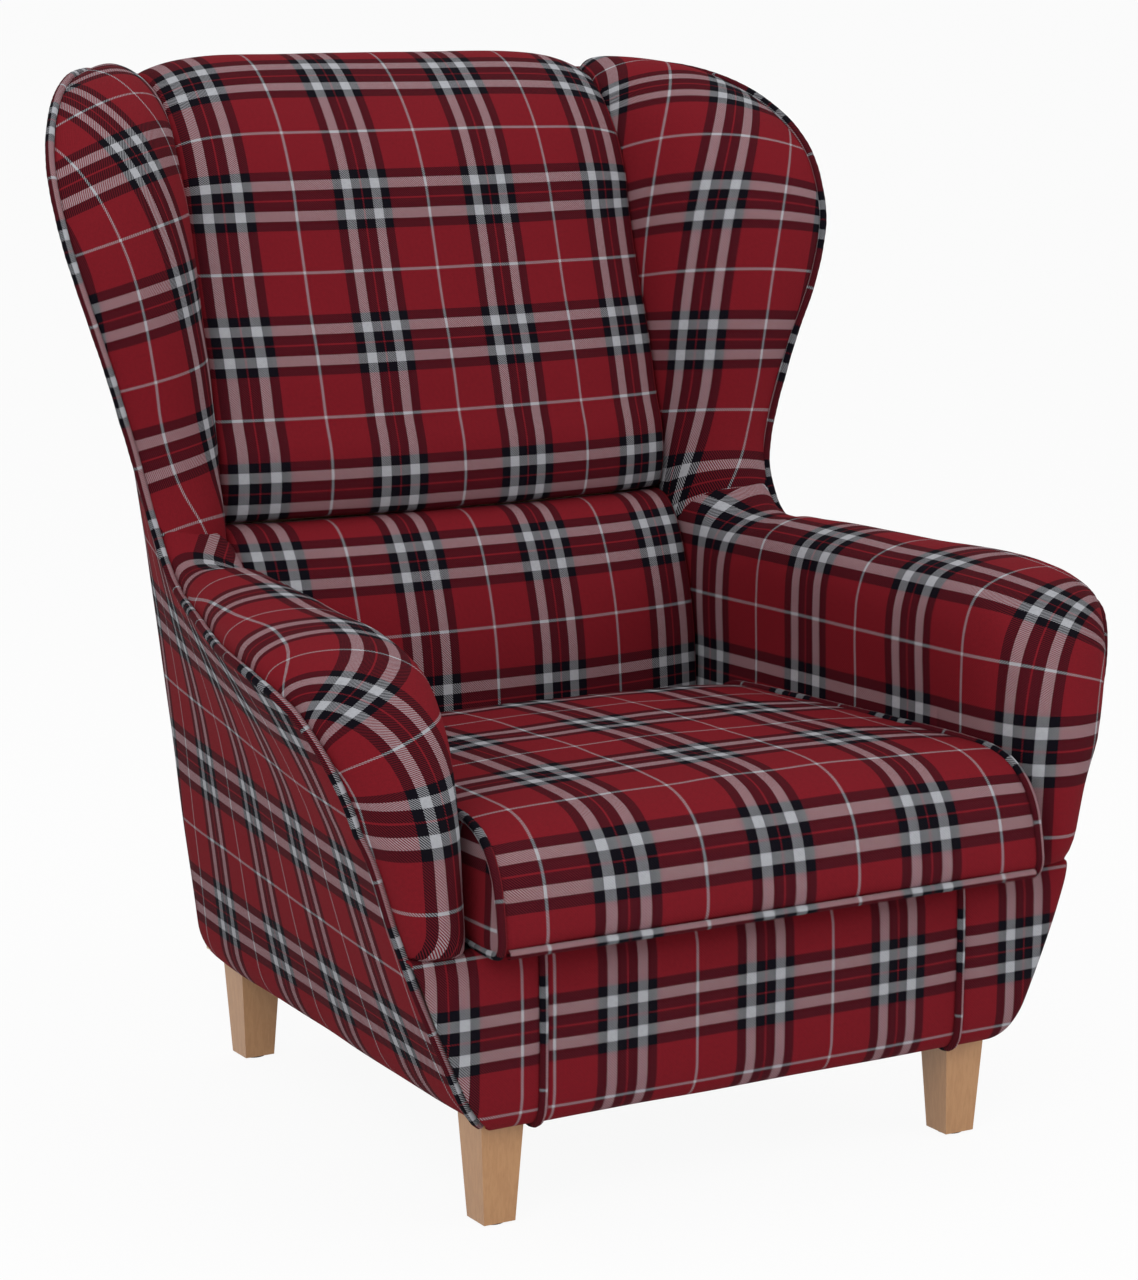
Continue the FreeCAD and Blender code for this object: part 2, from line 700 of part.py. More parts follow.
def panel_levels():
    """Height and front edge of the side panel, just inside the piping."""
    levels = [(BODY_FLOOR, NOSE_DEPTH + 15)]
    levels += [(z, arm_front(z) + INSET + 1)
               for z in (BODY_FLOOR + 26, 160, 200, 250, CUSHION_FLOOR + 27, 350)]
    for z, reach in quarter(NOSE_SPRING, NOSE_RADIUS - INSET,
                            (0, 0.25, 0.45, 0.62, 0.76, 0.87, 0.95, 1)):
        levels.append((z, NOSE_CENTRE - reach))
    top = NOSE_SPRING + NOSE_RADIUS - INSET
    rise = WAIST_TOP - WAIST_RADIUS - INSET - top
    for share in (0.12, 0.25, 0.45, 0.7):
        levels.append((top + share * rise, NOSE_CENTRE + share * (WAIST_DEPTH - NOSE_CENTRE)))
    for z, reach in quarter(WAIST_TOP, WAIST_RADIUS + INSET,
                            (-1, -0.985, -0.95, -0.88, -0.78, -0.6, -0.35, 0)):
        levels.append((z, WAIST_DEPTH + reach))
    levels += [(z, WING_DEPTH + INSET) for z in (700, 765)]
    for z, reach in quarter(WING_SPRING, WING_RADIUS - INSET,
                            (0, 0.25, 0.45, 0.62, 0.75, 0.86, 0.94, 0.985, 1)):
        levels.append((z, WING_DEPTH + WING_RADIUS - reach))
    return levels


ARM_TAPER = 0.55 * WAIST_DEPTH
panel_rings = []
for z, front in panel_levels():
    rear = rear_depth(z) - PANEL - FIT - 1
    middle = max(ARM_TAPER, front + 0.3 * (rear - front))
    third = (middle - front) / 3
    line = [(side_half(depth, z), depth)
            for depth in (front, front + third, front + 2 * third, middle, rear)]
    panel_rings.append(ring([at(x, depth, z) for x, depth in line]
                            + [at(x - PANEL, depth, z) for x, depth in line[::-1]]))
both_sides("side_panel", loft(panel_rings, ruled=True))

back_rings = []
for z in (BODY_FLOOR, ARM_HEIGHT + 69 + BODY_FLOOR, WING_TOP - 3):
    half = rear_half(z)
    rear = rear_depth(z)
    back_rings.append(ring([at(-half, rear - PANEL, z), at(half, rear - PANEL, z),
                            at(half, rear, z), at(-half, rear, z)]))
free_form("outside_back", loft(back_rings, ruled=True))


def tube(centres, radius, aside):
    """Round cord through points, its sections kept level with one direction."""
    rings = []
    for i, centre in enumerate(centres):
        along = centres[min(i + 1, len(centres) - 1)] - centres[max(i - 1, 0)]
        along.normalize()
        first = aside - along * aside.dot(along)
        first.normalize()
        second = along.cross(first)
        points = []
        for k in range(8):
            angle = k * math.pi / 4
            points.append(centre + first * (radius * math.cos(angle))
                          + second * (radius * math.sin(angle)))
        rings.append(ring(points, [0, 2, 4, 6]))
    return loft(rings, ruled=True)


def outline_points():
    """Depth and height of the outline of arm and wing, from the foot to the top."""
    points = [(NOSE_DEPTH + 6, BODY_FLOOR + 5)]
    for z in (BODY_FLOOR + 22, 160, 210, 260, 320, NOSE_SPRING - 40):
        points.append((arm_front(z), z))
    for step in range(0, 13):
        turn = math.pi * (1 - step / 24)
        points.append((NOSE_CENTRE + NOSE_RADIUS * math.cos(turn),
                       NOSE_SPRING + NOSE_RADIUS * math.sin(turn)))
    arm_top = NOSE_SPRING + NOSE_RADIUS
    rise = ARM_HEIGHT + 2 - arm_top
    for share in (0.25, 0.5, 0.75, 1):
        points.append((NOSE_CENTRE + share * (WAIST_DEPTH - NOSE_CENTRE), arm_top + share * rise))
    for step in range(1, 9):
        turn = math.pi * step / 16
        points.append((WAIST_DEPTH + WAIST_RADIUS * math.sin(turn),
                       ARM_HEIGHT + 2 + WAIST_RADIUS * (1 - math.cos(turn))))
    points += [(WING_DEPTH, 680), (WING_DEPTH, 760)]
    for step in range(0, 13):
        turn = math.pi * (1 - step / 24)
        points.append((WING_DEPTH + WING_RADIUS + WING_RADIUS * math.cos(turn),
                       WING_SPRING + WING_RADIUS * math.sin(turn)))
    points.append((rear_depth(WING_TOP) - 14, WING_TOP))
    return points


both_sides("outline_piping", tube(
    [at(side_half(depth, z) - 1, depth, z) for depth, z in outline_points()],
    PIPING_RADIUS, Vector(1, 0, 0)))

welt_line = [(BORDER_ROUND + 14, UNDERSIDE - 5.5), (BORDER_ROUND, BODY_FLOOR + 0.5),
             (BORDER_ROUND * 0.27, BODY_FLOOR + BORDER_ROUND * 0.27),
             (0.5, BODY_FLOOR + BORDER_ROUND), (0.5, FRAME_TOP - 60), (0.5, CUSHION_FLOOR - 6)]
free_form("border_welts", Part.Compound([
    tube([at(side * WELT_X, depth, z) for depth, z in welt_line], PIPING_RADIUS, Vector(1, 0, 0))
    for side in (-1, 1)]))


# Arms: a roll over the rail and down the front, with its pad and cover

ROLL = size("roll_deep")
ARM_EDGE = PIPING_RADIUS + 2.6
PAD_INSET = CLOTH + 3 * FIT
ARM_REAR = post_front(ARM_RAIL_TOP) - 4


def arm_stations():
    """Pivot, outward direction and thickness of the arm roll, from the front up and back."""
    stations = []
    for z, share in ((CUSHION_FLOOR + 2, 0.78), (CUSHION_FLOOR + 60, 0.96), (NOSE_SPRING - 30, 1)):
        stations.append(((NOSE_CENTRE + arm_front(z) - NOSE_DEPTH, z), (-1, 0), share))
    for angle in range(180, 89, -15):
        turn = math.radians(angle)
        stations.append(((NOSE_CENTRE, NOSE_SPRING), (math.cos(turn), math.sin(turn)), 1))
    for depth in (220, 340, 440, 520, 600, ARM_REAR):
        rise = 10 * min(depth - NOSE_CENTRE, WAIST_DEPTH - NOSE_CENTRE) / 340
        stations.append(((depth, NOSE_SPRING + rise), (0, 1), 1))
    return stations


def arm_point(station, radius, x=None, inset=0):
    (depth, z), (out_depth, out_z), _ = station
    depth += radius * out_depth
    z += radius * out_z
    if x is None:
        x = side_half(depth, z) - inset
    return at(x, depth, z)


def arm_inside(station, radius, inset):
    """Point on the inside face of the arm."""
    depth = station[0][0] + radius * station[1][0]
    return arm_point(station, radius, inner_half(depth) + inset)


def arm_ring(station, outer, inner=None):
    """Section of the roll; with inner it is a layer, without it is solid."""
    root = NOSE_RADIUS - ROLL * station[2]
    inside = inner_half(station[0][0] + NOSE_RADIUS * station[1][0])
    outside = arm_point(station, NOSE_RADIUS, None, ARM_EDGE).x
    bulge = min(size("arm_bulge") - 4 * max(station[1][1], 0), 0.3 * (outside - inside))
    middle = (inside + outside) / 2

    def line(inset):
        return [arm_point(station, NOSE_RADIUS - inset, outside - inset),
                arm_point(station, NOSE_RADIUS + bulge - inset, middle),
                arm_inside(station, NOSE_RADIUS - 8 - inset, inset),
                arm_inside(station, root, inset)]

    if inner is None:
        return ring(line(outer) + [arm_point(station, root, None, FRAME_INSET)], [0])
    return ring(line(outer) + line(inner)[::-1], [0, 5])


def arm_sheet(offset, thick, reach, top):
    """Flat inside face of the arm under the roll."""
    slant = reach * math.sqrt(0.5)
    low = CUSHION_FLOOR + 0.6
    rings = []
    for extra in (offset, offset + thick):
        rings.append(ring(
            [at(inner_half(depth) + extra, depth, z) for depth, z in (
                (NOSE_CENTRE - reach, low), (NOSE_CENTRE - reach, NOSE_SPRING),
                (NOSE_CENTRE - slant, NOSE_SPRING + slant), (NOSE_CENTRE, NOSE_SPRING + reach),
                (519, top), (519, low))], [1]))
    return loft(rings, ruled=True)


arm_cover = loft([arm_ring(station, 0, CLOTH) for station in arm_stations()], ruled=True)
arm_cover = arm_cover.fuse(arm_sheet(0.2, CLOTH, NOSE_RADIUS - 14, NOSE_SPRING + NOSE_RADIUS - 16))
both_sides("arm_cover", arm_cover)

arm_pad = loft([arm_ring(station, PAD_INSET) for station in arm_stations()], ruled=True)
fill_rings = []
for z, front in ((CUSHION_FLOOR + 0.6, 7), (ARM_RAIL_LOW, 62), (ARM_RAIL_TOP + 6, 62)):
    near = NOSE_CENTRE - NOSE_RADIUS + ROLL + 6
    inside_near = inner_half(near) + CLOTH + 0.6
    inside_far = inner_half(519) + CLOTH + 0.6
    fill_rings.append(ring([at(inside_near, near, z), at(inside_far, 519, z),
                            at(inside_far + 14, 519, z), at(inside_near + front, near, z)]))
both_sides("arm_pad", arm_pad.fuse(loft(fill_rings, ruled=True)))


# Wings: a pad before and beside the board, with its cover

BACK_LINE = [
    (0, 0), (20, -9), (45, -11), (71, -8), (102, 3), (141, 14), (207, 36), (249, 48),
    (306, 65), (338, 76), (393, 103), (441, 146), (471, 212),
]
BACK_SCALE = (size("overall_height") - 1 - size("seam_height")) / 471
BACK_STATIONS = [(size("seam_height") + rise * BACK_SCALE, size("seam_depth") + behind)
                 for rise, behind in BACK_LINE]
HEAD = size("seam_height") + 306 * BACK_SCALE
WING_INNER = size("back_half") + 1.2


def head_share(z):
    """How far up the head roll, from its foot to the top of the chair."""
    return max(z - HEAD, 0) / (size("overall_height") - HEAD)


def back_depth(x, z):
    """Front of the upper back: hollow in the middle, its sides set back."""
    crown = size("back_crown") * (abs(x) / size("back_half")) ** 2.7
    return through(BACK_STATIONS, z) + crown * (1 - 0.85 * head_share(z))


HEAD_EASE = 2.2
HEAD_LEVELS = [WING_SPRING + rise * WING_RADIUS for rise in (0.88, 0.95)]


def wing_line(z, inset):
    """Inside face of the wing in plan: from the piping, forwards round, to the back."""
    edge = ARM_EDGE + max(z - WING_LEVELS[-1], 0) / 18
    outer = (side_half(wing_front(z), z) - edge, wing_front(z) - 0.5)
    inner = (WING_INNER, back_depth(size("back_half"), z) - 2)
    chord = (outer[0] - inner[0], outer[1] - inner[1])
    long = math.hypot(chord[0], chord[1])
    normal = (chord[1] / long, -chord[0] / long)
    bulge = min(0.225 * long, 45)
    middle = ((outer[0] + inner[0]) / 2 + normal[0] * (bulge - inset),
              (outer[1] + inner[1]) / 2 + normal[1] * (bulge - inset))
    return [(outer[0] - 0.4 * inset, outer[1] + inset), middle, (inner[0], inner[1] + inset)]


def wing_pad_ring(z):
    """Section of the pad, hugging the board or, above it, filling its place."""
    line = wing_line(z, PAD_INSET + (HEAD_EASE if z > WING_LEVELS[-1] else 0))
    rear = post_front(z) - 2.9
    if z <= WING_LEVELS[-1]:
        (front, outer_front), _ = board_line(z)
        line += [(WING_INNER, rear), (board_inner(rear, z) - FIT, rear),
                 (outer_front - BOARD - FIT, front - FIT), (outer_front - FIT, front - FIT)]
    else:
        line += [(WING_INNER, rear)]
        line += [(side_half(depth, z) - FRAME_INSET, depth) for depth in (rear, rear - 9, rear - 18)]
    return ring([at(x, depth, z) for x, depth in line], [0])


def wing_top_ring(z):
    rear = rear_depth(z) - PANEL - 2
    line = wing_line(z, PAD_INSET + HEAD_EASE)
    line += [(WING_INNER, rear), (side_half(rear, z) - FRAME_INSET, rear)]
    return ring([at(x, depth, z) for x, depth in line], [0])


def wing_cover_ring(z):
    line = wing_line(z, 0) + wing_line(z, CLOTH)[::-1]
    return ring([at(x, depth, z) for x, depth in line], [0, 3])


post_head = POST_TOP_Z + 1
wing_pad = loft([wing_pad_ring(z) for z in WING_LEVELS + [post_head]], ruled=True)
wing_pad = wing_pad.fuse(loft([wing_top_ring(z) for z in [post_head] + HEAD_LEVELS], ruled=True))
both_sides("wing_pad", wing_pad)
both_sides("wing_cover", loft([wing_cover_ring(z) for z in WING_LEVELS + HEAD_LEVELS],
                              ruled=True))


# Inside back: an upper and a lower pad meeting in a seam, each with its cover

def top_drop(x):
    return 24 * (abs(x) / size("back_half")) ** 7


BACK_X = [-268, -252, -229, -153, 0, 153, 229, 252, 268]
BACK_WIDE = (size("back_half") - 1) / 268
UPPER_RISES = [0, 45, 102, 207, 306, 393, 441, 471]


def upper_line(x):
    """Front of the upper back pad at this distance from the middle."""
    line = []
    for i, rise in enumerate(UPPER_RISES):
        z = size("seam_height") + 1.2 + rise * BACK_SCALE
        depth = back_depth(x, z)
        z -= top_drop(x) * head_share(z)
        line.append(at(x, depth, z - (1.2 if i else 0)))
    return line


def lower_line(x):
    """Front of the lower back pad, from the deck up into the seam."""
    front = size("lumbar_depth")
    seam = size("seam_depth")
    top = size("seam_height")
    reach = seam - front
    line = [(front, CUSHION_FLOOR + 1), (front, top - 185), (front + 0.13 * reach, top - 118),
            (front + 0.36 * reach, top - 58), (front + 0.66 * reach, top - 19),
            (seam - 3, top - 1)]
    return [at(x, depth + back_depth(x, HEAD) - back_depth(0, HEAD), z) for depth, z in line]


def back_ring(x, front, low, high, rear_high=None):
    """Closed section: its front line, then the faces against the posts."""
    rear = [at(x, post_front(high) - 2.9, high), at(x, post_front(low) - 2.9, low)]
    if rear_high is not None:
        rest = POST_TOP_Z - 4
        rear = [at(x, rear_depth(rear_high) - PANEL - 0.9, rear_high),
                at(x, rear_depth(rest) - PANEL - 0.9, rest), at(x, post_front(rest) - 2.9, rest),
                rear[1]]
    return front + rear


def layer_ring(front, thick, arcs):
    inner = inset_points(front, thick)
    back_arcs = [2 * len(front) - 3 - i for i in arcs]
    return ring(front + inner[::-1], list(arcs) + back_arcs)


upper_arcs = [0, 2, 4]
upper_rings = []
lower_rings = []
upper_skins = []
lower_skins = []
for station in BACK_X:
    x = station * BACK_WIDE
    front = upper_line(x)
    upper_skins.append(layer_ring(front, CLOTH, upper_arcs))
    inner = inset_points(front, PAD_INSET)
    upper_rings.append(ring(back_ring(x, inner, inner[0].z, POST_TOP_Z, inner[-1].z - 14),
                            upper_arcs))
    front = lower_line(x)
    lower_skins.append(layer_ring(front, CLOTH, [1, 3]))
    inner = inset_points(front, PAD_INSET)
    lower_rings.append(ring(back_ring(x, inner, inner[0].z, inner[-1].z), [1, 3]))
free_form("upper_back_pad", loft(upper_rings))
free_form("upper_back_cover", loft(upper_skins))
free_form("lower_back_pad", loft(lower_rings))
free_form("lower_back_cover", loft(lower_skins))


# Seat cushion: core, cover round it, two side panels and its piping

def cushion_line(x, inset):
    """Outline of the cushion in side view at this distance from the middle."""
    share = min(abs(x) / size("cushion_half"), 1)
    crown = size("cushion_crown") * (1 - share ** 2)
    top = CUSHION_FLOOR + size("cushion_rise")
    rear = size("lumbar_depth") - 4
    nose = -size("border_setback") + PIPING_RADIUS
    low = CUSHION_FLOOR
    return [(rear - inset, low + inset), (nose + 10.5 + 0.6 * inset, low + inset),
            (nose + inset, low + 11.5 + 0.6 * inset),
            (nose + 15 + inset, top - 43), (nose + 43 + inset, top - 5 - inset + crown * 0.6),
            (nose + 16 + size("cushion_nose"), top - inset + crown * 0.8),
            (rear - 235, top + 1 - inset + crown), (rear - 18, top - 7 - inset + crown * 0.5),
            (rear - inset, top - 20 - inset)]


CUSHION_ARCS = [3, 5]
CUSHION_FRONT = -size("border_setback") + PIPING_RADIUS


def cushion_loft(inset):
    wide = size("cushion_half") + 4
    rings = []
    for share in (-1, -0.75, -0.4, 0, 0.4, 0.75, 1):
        x = share * wide
        rings.append(ring([at(x, depth, z) for depth, z in cushion_line(x, inset)], CUSHION_ARCS))
    return loft(rings)


def cushion_side(depth):
    share = (depth - CUSHION_FRONT) / (size("lumbar_depth") - CUSHION_FRONT)
    front = size("cushion_half")
    return front - share * (front - size("cushion_half_rear"))


def between(inset, far=None):
    """Prism in plan, from the middle or from far, out to the tapering side less an inset."""
    depths = (CUSHION_FRONT - 20, size("lumbar_depth") + 20)
    outer = [(cushion_side(depth) - inset, depth) for depth in depths]
    if far is None:
        inner = [(-x, depth) for x, depth in outer]
    else:
        inner = [(cushion_side(depth) - far, depth) for depth in depths]
    points = [at(x, depth, CUSHION_FLOOR - 10) for x, depth in outer + inner[::-1]]
    return Part.Face(ring(points)).extrude(Vector(0, 0, size("cushion_rise") + 60))


SIDE_GAP = PIPING_RADIUS + 1.4
cushion_solid = cushion_loft(0)
cushion_core = cushion_loft(CLOTH + 2 * FIT).common(between(SIDE_GAP))
cushion_cover = cushion_solid.cut(cushion_loft(CLOTH)).common(between(SIDE_GAP))
free_form("cushion_core", cushion_core)
free_form("cushion_cover", cushion_cover)
side_line = cushion_line(size("cushion_half"), 2 * PIPING_RADIUS + 3)
side_face = Part.Face(ring([at(0, depth, z) for depth, z in side_line], CUSHION_ARCS))
cushion_end = side_face.extrude(Vector(2 * size("cushion_half"), 0, 0))
cushion_end = cushion_end.common(between(0, SIDE_GAP - FIT))
both_sides("cushion_side", cushion_end)


def cushion_cord(side):
    """Piping round one side of the cushion, its ends meeting at the rear."""
    centres = []
    inset = PIPING_RADIUS - 2
    line = cushion_line(size("cushion_half"), inset)
    low = CUSHION_FLOOR + PIPING_RADIUS
    rear = size("lumbar_depth") - 4 - PIPING_RADIUS
    front = CUSHION_FRONT + 1
    points = [(rear, CUSHION_FLOOR + 60), (rear, low + 4), (rear - 4, low), (front + 22, low),
              (front + 8, low + 3), (front + 3, low + 12)]
    points += [line[3], line[4], line[5]]
    points += [(200, line[6][1]), line[7], line[8], (rear, CUSHION_FLOOR + 61)]
    for depth, z in points:
        centres.append(at(side * (cushion_side(depth) - 1), depth, z))
    return tube(centres, PIPING_RADIUS, Vector(1, 0, 0))


cords = [cushion_cord(side) for side in (-1, 1)]
cord_end = cushion_side(CUSHION_FRONT) - 2 * PIPING_RADIUS - 2
cord_front = CUSHION_FRONT - 0.5
cords.append(tube([at(x, cord_front, CUSHION_FLOOR + PIPING_RADIUS)
                   for x in (-cord_end, cord_end)], PIPING_RADIUS, Vector(0, 0, 1)))
free_form("cushion_piping", Part.Compound(cords))


# Check every piece, then write it to its own file

os.makedirs("parts", exist_ok=True)
doc.recompute()
for obj in doc.Objects:
    if "Invalid" in obj.State or "Error" in obj.State:
        raise RuntimeError("not computed: " + obj.Label)
for obj in pieces:
    if obj.Shape.isNull() or not obj.Shape.isValid():
        raise RuntimeError("bad shape: " + obj.Label)
    if not obj.Shape.Solids or any(solid.Volume <= 0 for solid in obj.Shape.Solids):
        raise RuntimeError("inside out: " + obj.Label)
for obj in pieces:
    obj.Shape.exportStep("parts/%s.step" % obj.Label)
print("pieces", len(pieces))
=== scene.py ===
import math

import bmesh
import bpy
import numpy as np
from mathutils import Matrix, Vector, noise


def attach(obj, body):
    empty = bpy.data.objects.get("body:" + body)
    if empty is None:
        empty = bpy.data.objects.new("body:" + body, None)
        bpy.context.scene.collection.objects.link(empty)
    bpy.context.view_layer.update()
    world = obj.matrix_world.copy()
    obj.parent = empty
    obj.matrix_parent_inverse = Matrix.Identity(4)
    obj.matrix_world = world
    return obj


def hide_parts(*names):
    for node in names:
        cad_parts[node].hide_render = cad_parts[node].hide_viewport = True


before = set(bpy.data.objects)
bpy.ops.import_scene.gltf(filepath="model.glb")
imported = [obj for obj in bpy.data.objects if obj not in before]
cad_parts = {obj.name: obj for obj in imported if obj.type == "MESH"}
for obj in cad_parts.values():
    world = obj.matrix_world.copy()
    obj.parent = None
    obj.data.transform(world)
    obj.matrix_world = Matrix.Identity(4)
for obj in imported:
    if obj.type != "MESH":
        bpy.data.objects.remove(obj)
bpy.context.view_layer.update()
print("frame loaded")

# Lengths below are in millimetres: x to the right, depth behind the front border, height.
borderY = -390.5
toMetres = 0.001
sides = {"left": -1, "right": 1}
foot, top = 98, 1031  # of the upholstered body
bandHeight = 192.5  # a band of the check crosses the body here
repeat = 152  # of the check


# camera at the photograph's angle, in metres, degrees and millimetres of lens
cameraSet = {"place": (-1.8066, -3.1253, 1.1441), "down": 10.6168, "turn": 30.3225, "lens": 101.307}

cameraData = bpy.data.cameras.new("camera")
cameraData.sensor_fit = "VERTICAL"
cameraData.sensor_height = 36
cameraData.lens = cameraSet["lens"]
cameraData.clip_end = 900
camera = bpy.data.objects.new("camera", cameraData)
camera.location = cameraSet["place"]
camera.rotation_euler = (math.radians(90 - cameraSet["down"]), 0, -math.radians(cameraSet["turn"]))
bpy.context.scene.collection.objects.link(camera)
bpy.context.scene.camera = camera


class Value:
    # a socket that can be used in sums
    def __init__(self, finish, node, socket):
        self.finish = finish
        self.node = node
        self.socket = socket

    def out(self, name):
        return Value(self.finish, self.node, self.node.outputs[name])

    def sum(self, operation, first, second):
        return self.finish.node("Math", {"operation": operation}, {0: first, 1: second})

    def __add__(self, other):
        return self.sum("ADD", self, other)

    def __sub__(self, other):
        return self.sum("SUBTRACT", self, other)

    def __mul__(self, other):
        return self.sum("MULTIPLY", self, other)

    def __gt__(self, other):
        return self.sum("GREATER_THAN", self, other)

    def __rsub__(self, other):
        return self.sum("SUBTRACT", other, self)

    def fract(self):
        return self.finish.node("Math", {"operation": "FRACT"}, {0: self})

    def size(self):
        return self.finish.node("Math", {"operation": "ABSOLUTE"}, {0: self})


class Finish:
    # the nodes of a material, or of the world
    def __init__(self, name, owners=bpy.data.materials):
        self.owner = owners.new(name)
        self.owner.use_nodes = True
        self.tree = self.owner.node_tree
        self.tree.nodes.clear()

    def node(self, kind, settings=None, sockets=None):
        made = self.tree.nodes.new("ShaderNode" + kind)
        for key, value in (settings or {}).items():
            setattr(made, key, value)
        for key, value in (sockets or {}).items():
            if isinstance(value, Value):
                self.tree.links.new(value.socket, made.inputs[key])
            else:
                made.inputs[key].default_value = value
        shown = [socket for socket in made.outputs if socket.enabled]
        return Value(self, made, shown[0] if shown else None)

    def setStops(self, ramp, stops):
        while len(ramp.elements) < len(stops):
            ramp.elements.new(1)
        for element, (place, colour) in zip(ramp.elements, stops):
            element.position = place
            element.color = (*colour, 1)

    def mix(self, share, first, second, blend="MIX"):
        def colour(value):
            return value if isinstance(value, Value) else (*value, 1)
        return self.node("Mix", {"data_type": "RGBA", "blend_type": blend},
                         {0: share, 6: colour(first), 7: colour(second)})

    def noise(self, where, scale, detail=3, roughness=0.55):
        return self.node("TexNoise", None, {"Vector": where, "Scale": scale, "Detail": detail,
                                            "Roughness": roughness})

    def close(self, **sockets):
        shader = self.node("BsdfPrincipled", None,
                           {name.replace("_", " "): value for name, value in sockets.items()})
        self.node("OutputMaterial", None, {"Surface": shader})
        return self.owner


# colours of the tartan's threads
yarn = {
    "red": (0.195, 0.0095, 0.016),
    "white": (0.43, 0.44, 0.47),
    "black": (0.003, 0.0025, 0.0055),
}
# width of each stripe as a share of one repeat, from the middle of one thin line to the next
sett = [("white", 0.0085), ("red", 0.284), ("black", 0.0645), ("white", 0.07), ("black", 0.067),
        ("red", 0.012), ("black", 0.067), ("white", 0.07), ("black", 0.0645), ("red", 0.284),
        ("white", 0.0085)]


def settStops():
    place = 0
    stops = []
    for name, width in sett:
        stops.append((place, yarn[name]))
        place += width
    return stops


def tartan(name, bump, wander):
    twills = 58  # diagonal ribs in one repeat
    finish = Finish(name)
    cloth = finish.node("UVMap", {"uv_map": "cloth"})
    drift = finish.noise(cloth, 1.7, 1).out("Color")
    drift = finish.node("VectorMath", {"operation": "MULTIPLY_ADD"},
                        {0: drift, 1: (wander, wander, 0), 2: (-wander / 2, -wander / 2, 0)})
    cloth = finish.node("VectorMath", {"operation": "ADD"}, {0: cloth, 1: drift})
    parts = finish.node("SeparateXYZ", None, {0: cloth})
    u, v = parts.out("X"), parts.out("Y")
    threads = []
    for along in (u, v):
        ramp = finish.node("ValToRGB", None, {0: along.fract()})
        ramp.node.color_ramp.interpolation = "CONSTANT"
        finish.setStops(ramp.node.color_ramp, settStops())
        threads.append(ramp)
    twill = ((u + v) * twills).fract()
    colour = finish.mix(twill > 0.5, threads[0], threads[1])
    colour = finish.mix(0.3, colour, finish.mix(1.0, threads[0], threads[1], "DARKEN"))
    fibres = finish.noise(cloth, 260, 4, 0.7)
    slub = finish.noise(cloth, 46, 3, 0.6)
    # shade: fibre and slub noise, the yarn's own uneven melange tone; the 0.16 added to it in the mix
    # below also darkens all the cloth towards near black, a painted shade standing in for the small
    # shadows between the threads
    shade = (fibres - 0.5) * 1.5 + (slub - 0.5) * 0.7
    dark = finish.mix(0.62, colour, (0.010, 0.006, 0.008))
    colour = finish.mix(shade + 0.16, colour, dark)
    light = finish.mix(0.35, colour, (1.0, 0.85, 0.85), "SOFT_LIGHT")
    colour = finish.mix((0.5 - fibres) * 1.3, colour, light)
    ribU = ((u * (2 * twills)).fract() - 0.5).size()
    ribV = ((v * (2 * twills)).fract() - 0.5).size()
    ridge = (twill - 0.5).size() * 1.2 + ribU * 0.5 + ribV * 0.5 + fibres * 0.8
    relief = finish.node("Bump", None, {"Strength": bump, "Distance": 0.0006, "Height": ridge})
    return finish.close(Base_Color=colour, Roughness=0.92, Normal=relief, Specular_IOR_Level=0.08)


tartanCloth = tartan("tartan_cloth", 0.5, 0.006)
pipingCloth = tartan("tartan_piping", 0.6, 0.02)


def wood(name, light, dark, coat, rings=(5, 5, 0.9)):
    finish = Finish(name)
    place = finish.node("TexCoord").out("Object")
    grain = finish.node("Mapping", None, {"Vector": place, "Scale": rings})
    waves = finish.noise(grain, 13, 5, 0.6)
    streaks = finish.node("Mapping", None, {"Vector": place, "Scale": (90, 90, 5)})
    pores = finish.noise(streaks, 9, 3, 0.7)
    flame = ((waves * 7).fract() - 0.5).size() * 2
    tone = finish.mix(flame * 0.34 + pores * 0.3, light, dark)
    flecks = finish.mix((pores - 0.62) * 2.2, tone, [0.55 * part for part in dark])
    relief = finish.node("Bump", None, {"Strength": 0.15, "Distance": 0.0004, "Height": pores})
    return finish.close(Base_Color=flecks, Roughness=pores * 0.14 + 0.36, Normal=relief,
                        Coat_Weight=coat, Coat_Roughness=0.25)


legWood = wood("leg_beech", (0.50, 0.262, 0.112), (0.36, 0.165, 0.060), 0.25)
frameWood = wood("frame_beech", (0.72, 0.53, 0.33), (0.55, 0.36, 0.19), 0)
boardWood = wood("plywood", (0.74, 0.58, 0.38), (0.60, 0.42, 0.25), 0, (30, 30, 30))


def plainCloth(name, colour, weave, fuzz):
    finish = Finish(name)
    cloth = finish.node("TexCoord").out("Object")
    parts = finish.node("SeparateXYZ", None, {0: cloth})
    first, second, third = [((parts.out(axis) * weave).fract() - 0.5).size() for axis in "XYZ"]
    cloud = finish.noise(cloth, 22, 4)
    ribs = first + second + third
    tone = finish.mix(cloud * fuzz + ribs * 0.25, colour, [0.5 * part for part in colour])
    relief = finish.node("Bump", None, {"Strength": 0.5, "Distance": 0.0005, "Height": ribs})
    return finish.close(Base_Color=tone, Roughness=0.9, Normal=relief, Sheen_Weight=0.1)


dustCloth = plainCloth("black_cambric", (0.022, 0.022, 0.024), 900, 0.5)
deckCloth = plainCloth("platform_cloth", (0.030, 0.026, 0.027), 600, 0.4)
strapCloth = plainCloth("webbing", (0.50, 0.44, 0.35), 500, 0.4)
feltCloth = plainCloth("felt", (0.36, 0.35, 0.34), 350, 0.9)
foamCloth = plainCloth("foam", (0.82, 0.76, 0.58), 420, 0.5)


def metal(name, colour):
    finish = Finish(name)
    place = finish.node("TexCoord").out("Object")
    scuff = finish.noise(place, 160, 5)
    cloud = finish.noise(place, 18, 3)
    tone = finish.mix(cloud, colour, [0.72 * part for part in colour])
    return finish.close(Base_Color=tone, Metallic=1.0, Roughness=scuff * 0.3 + 0.22)


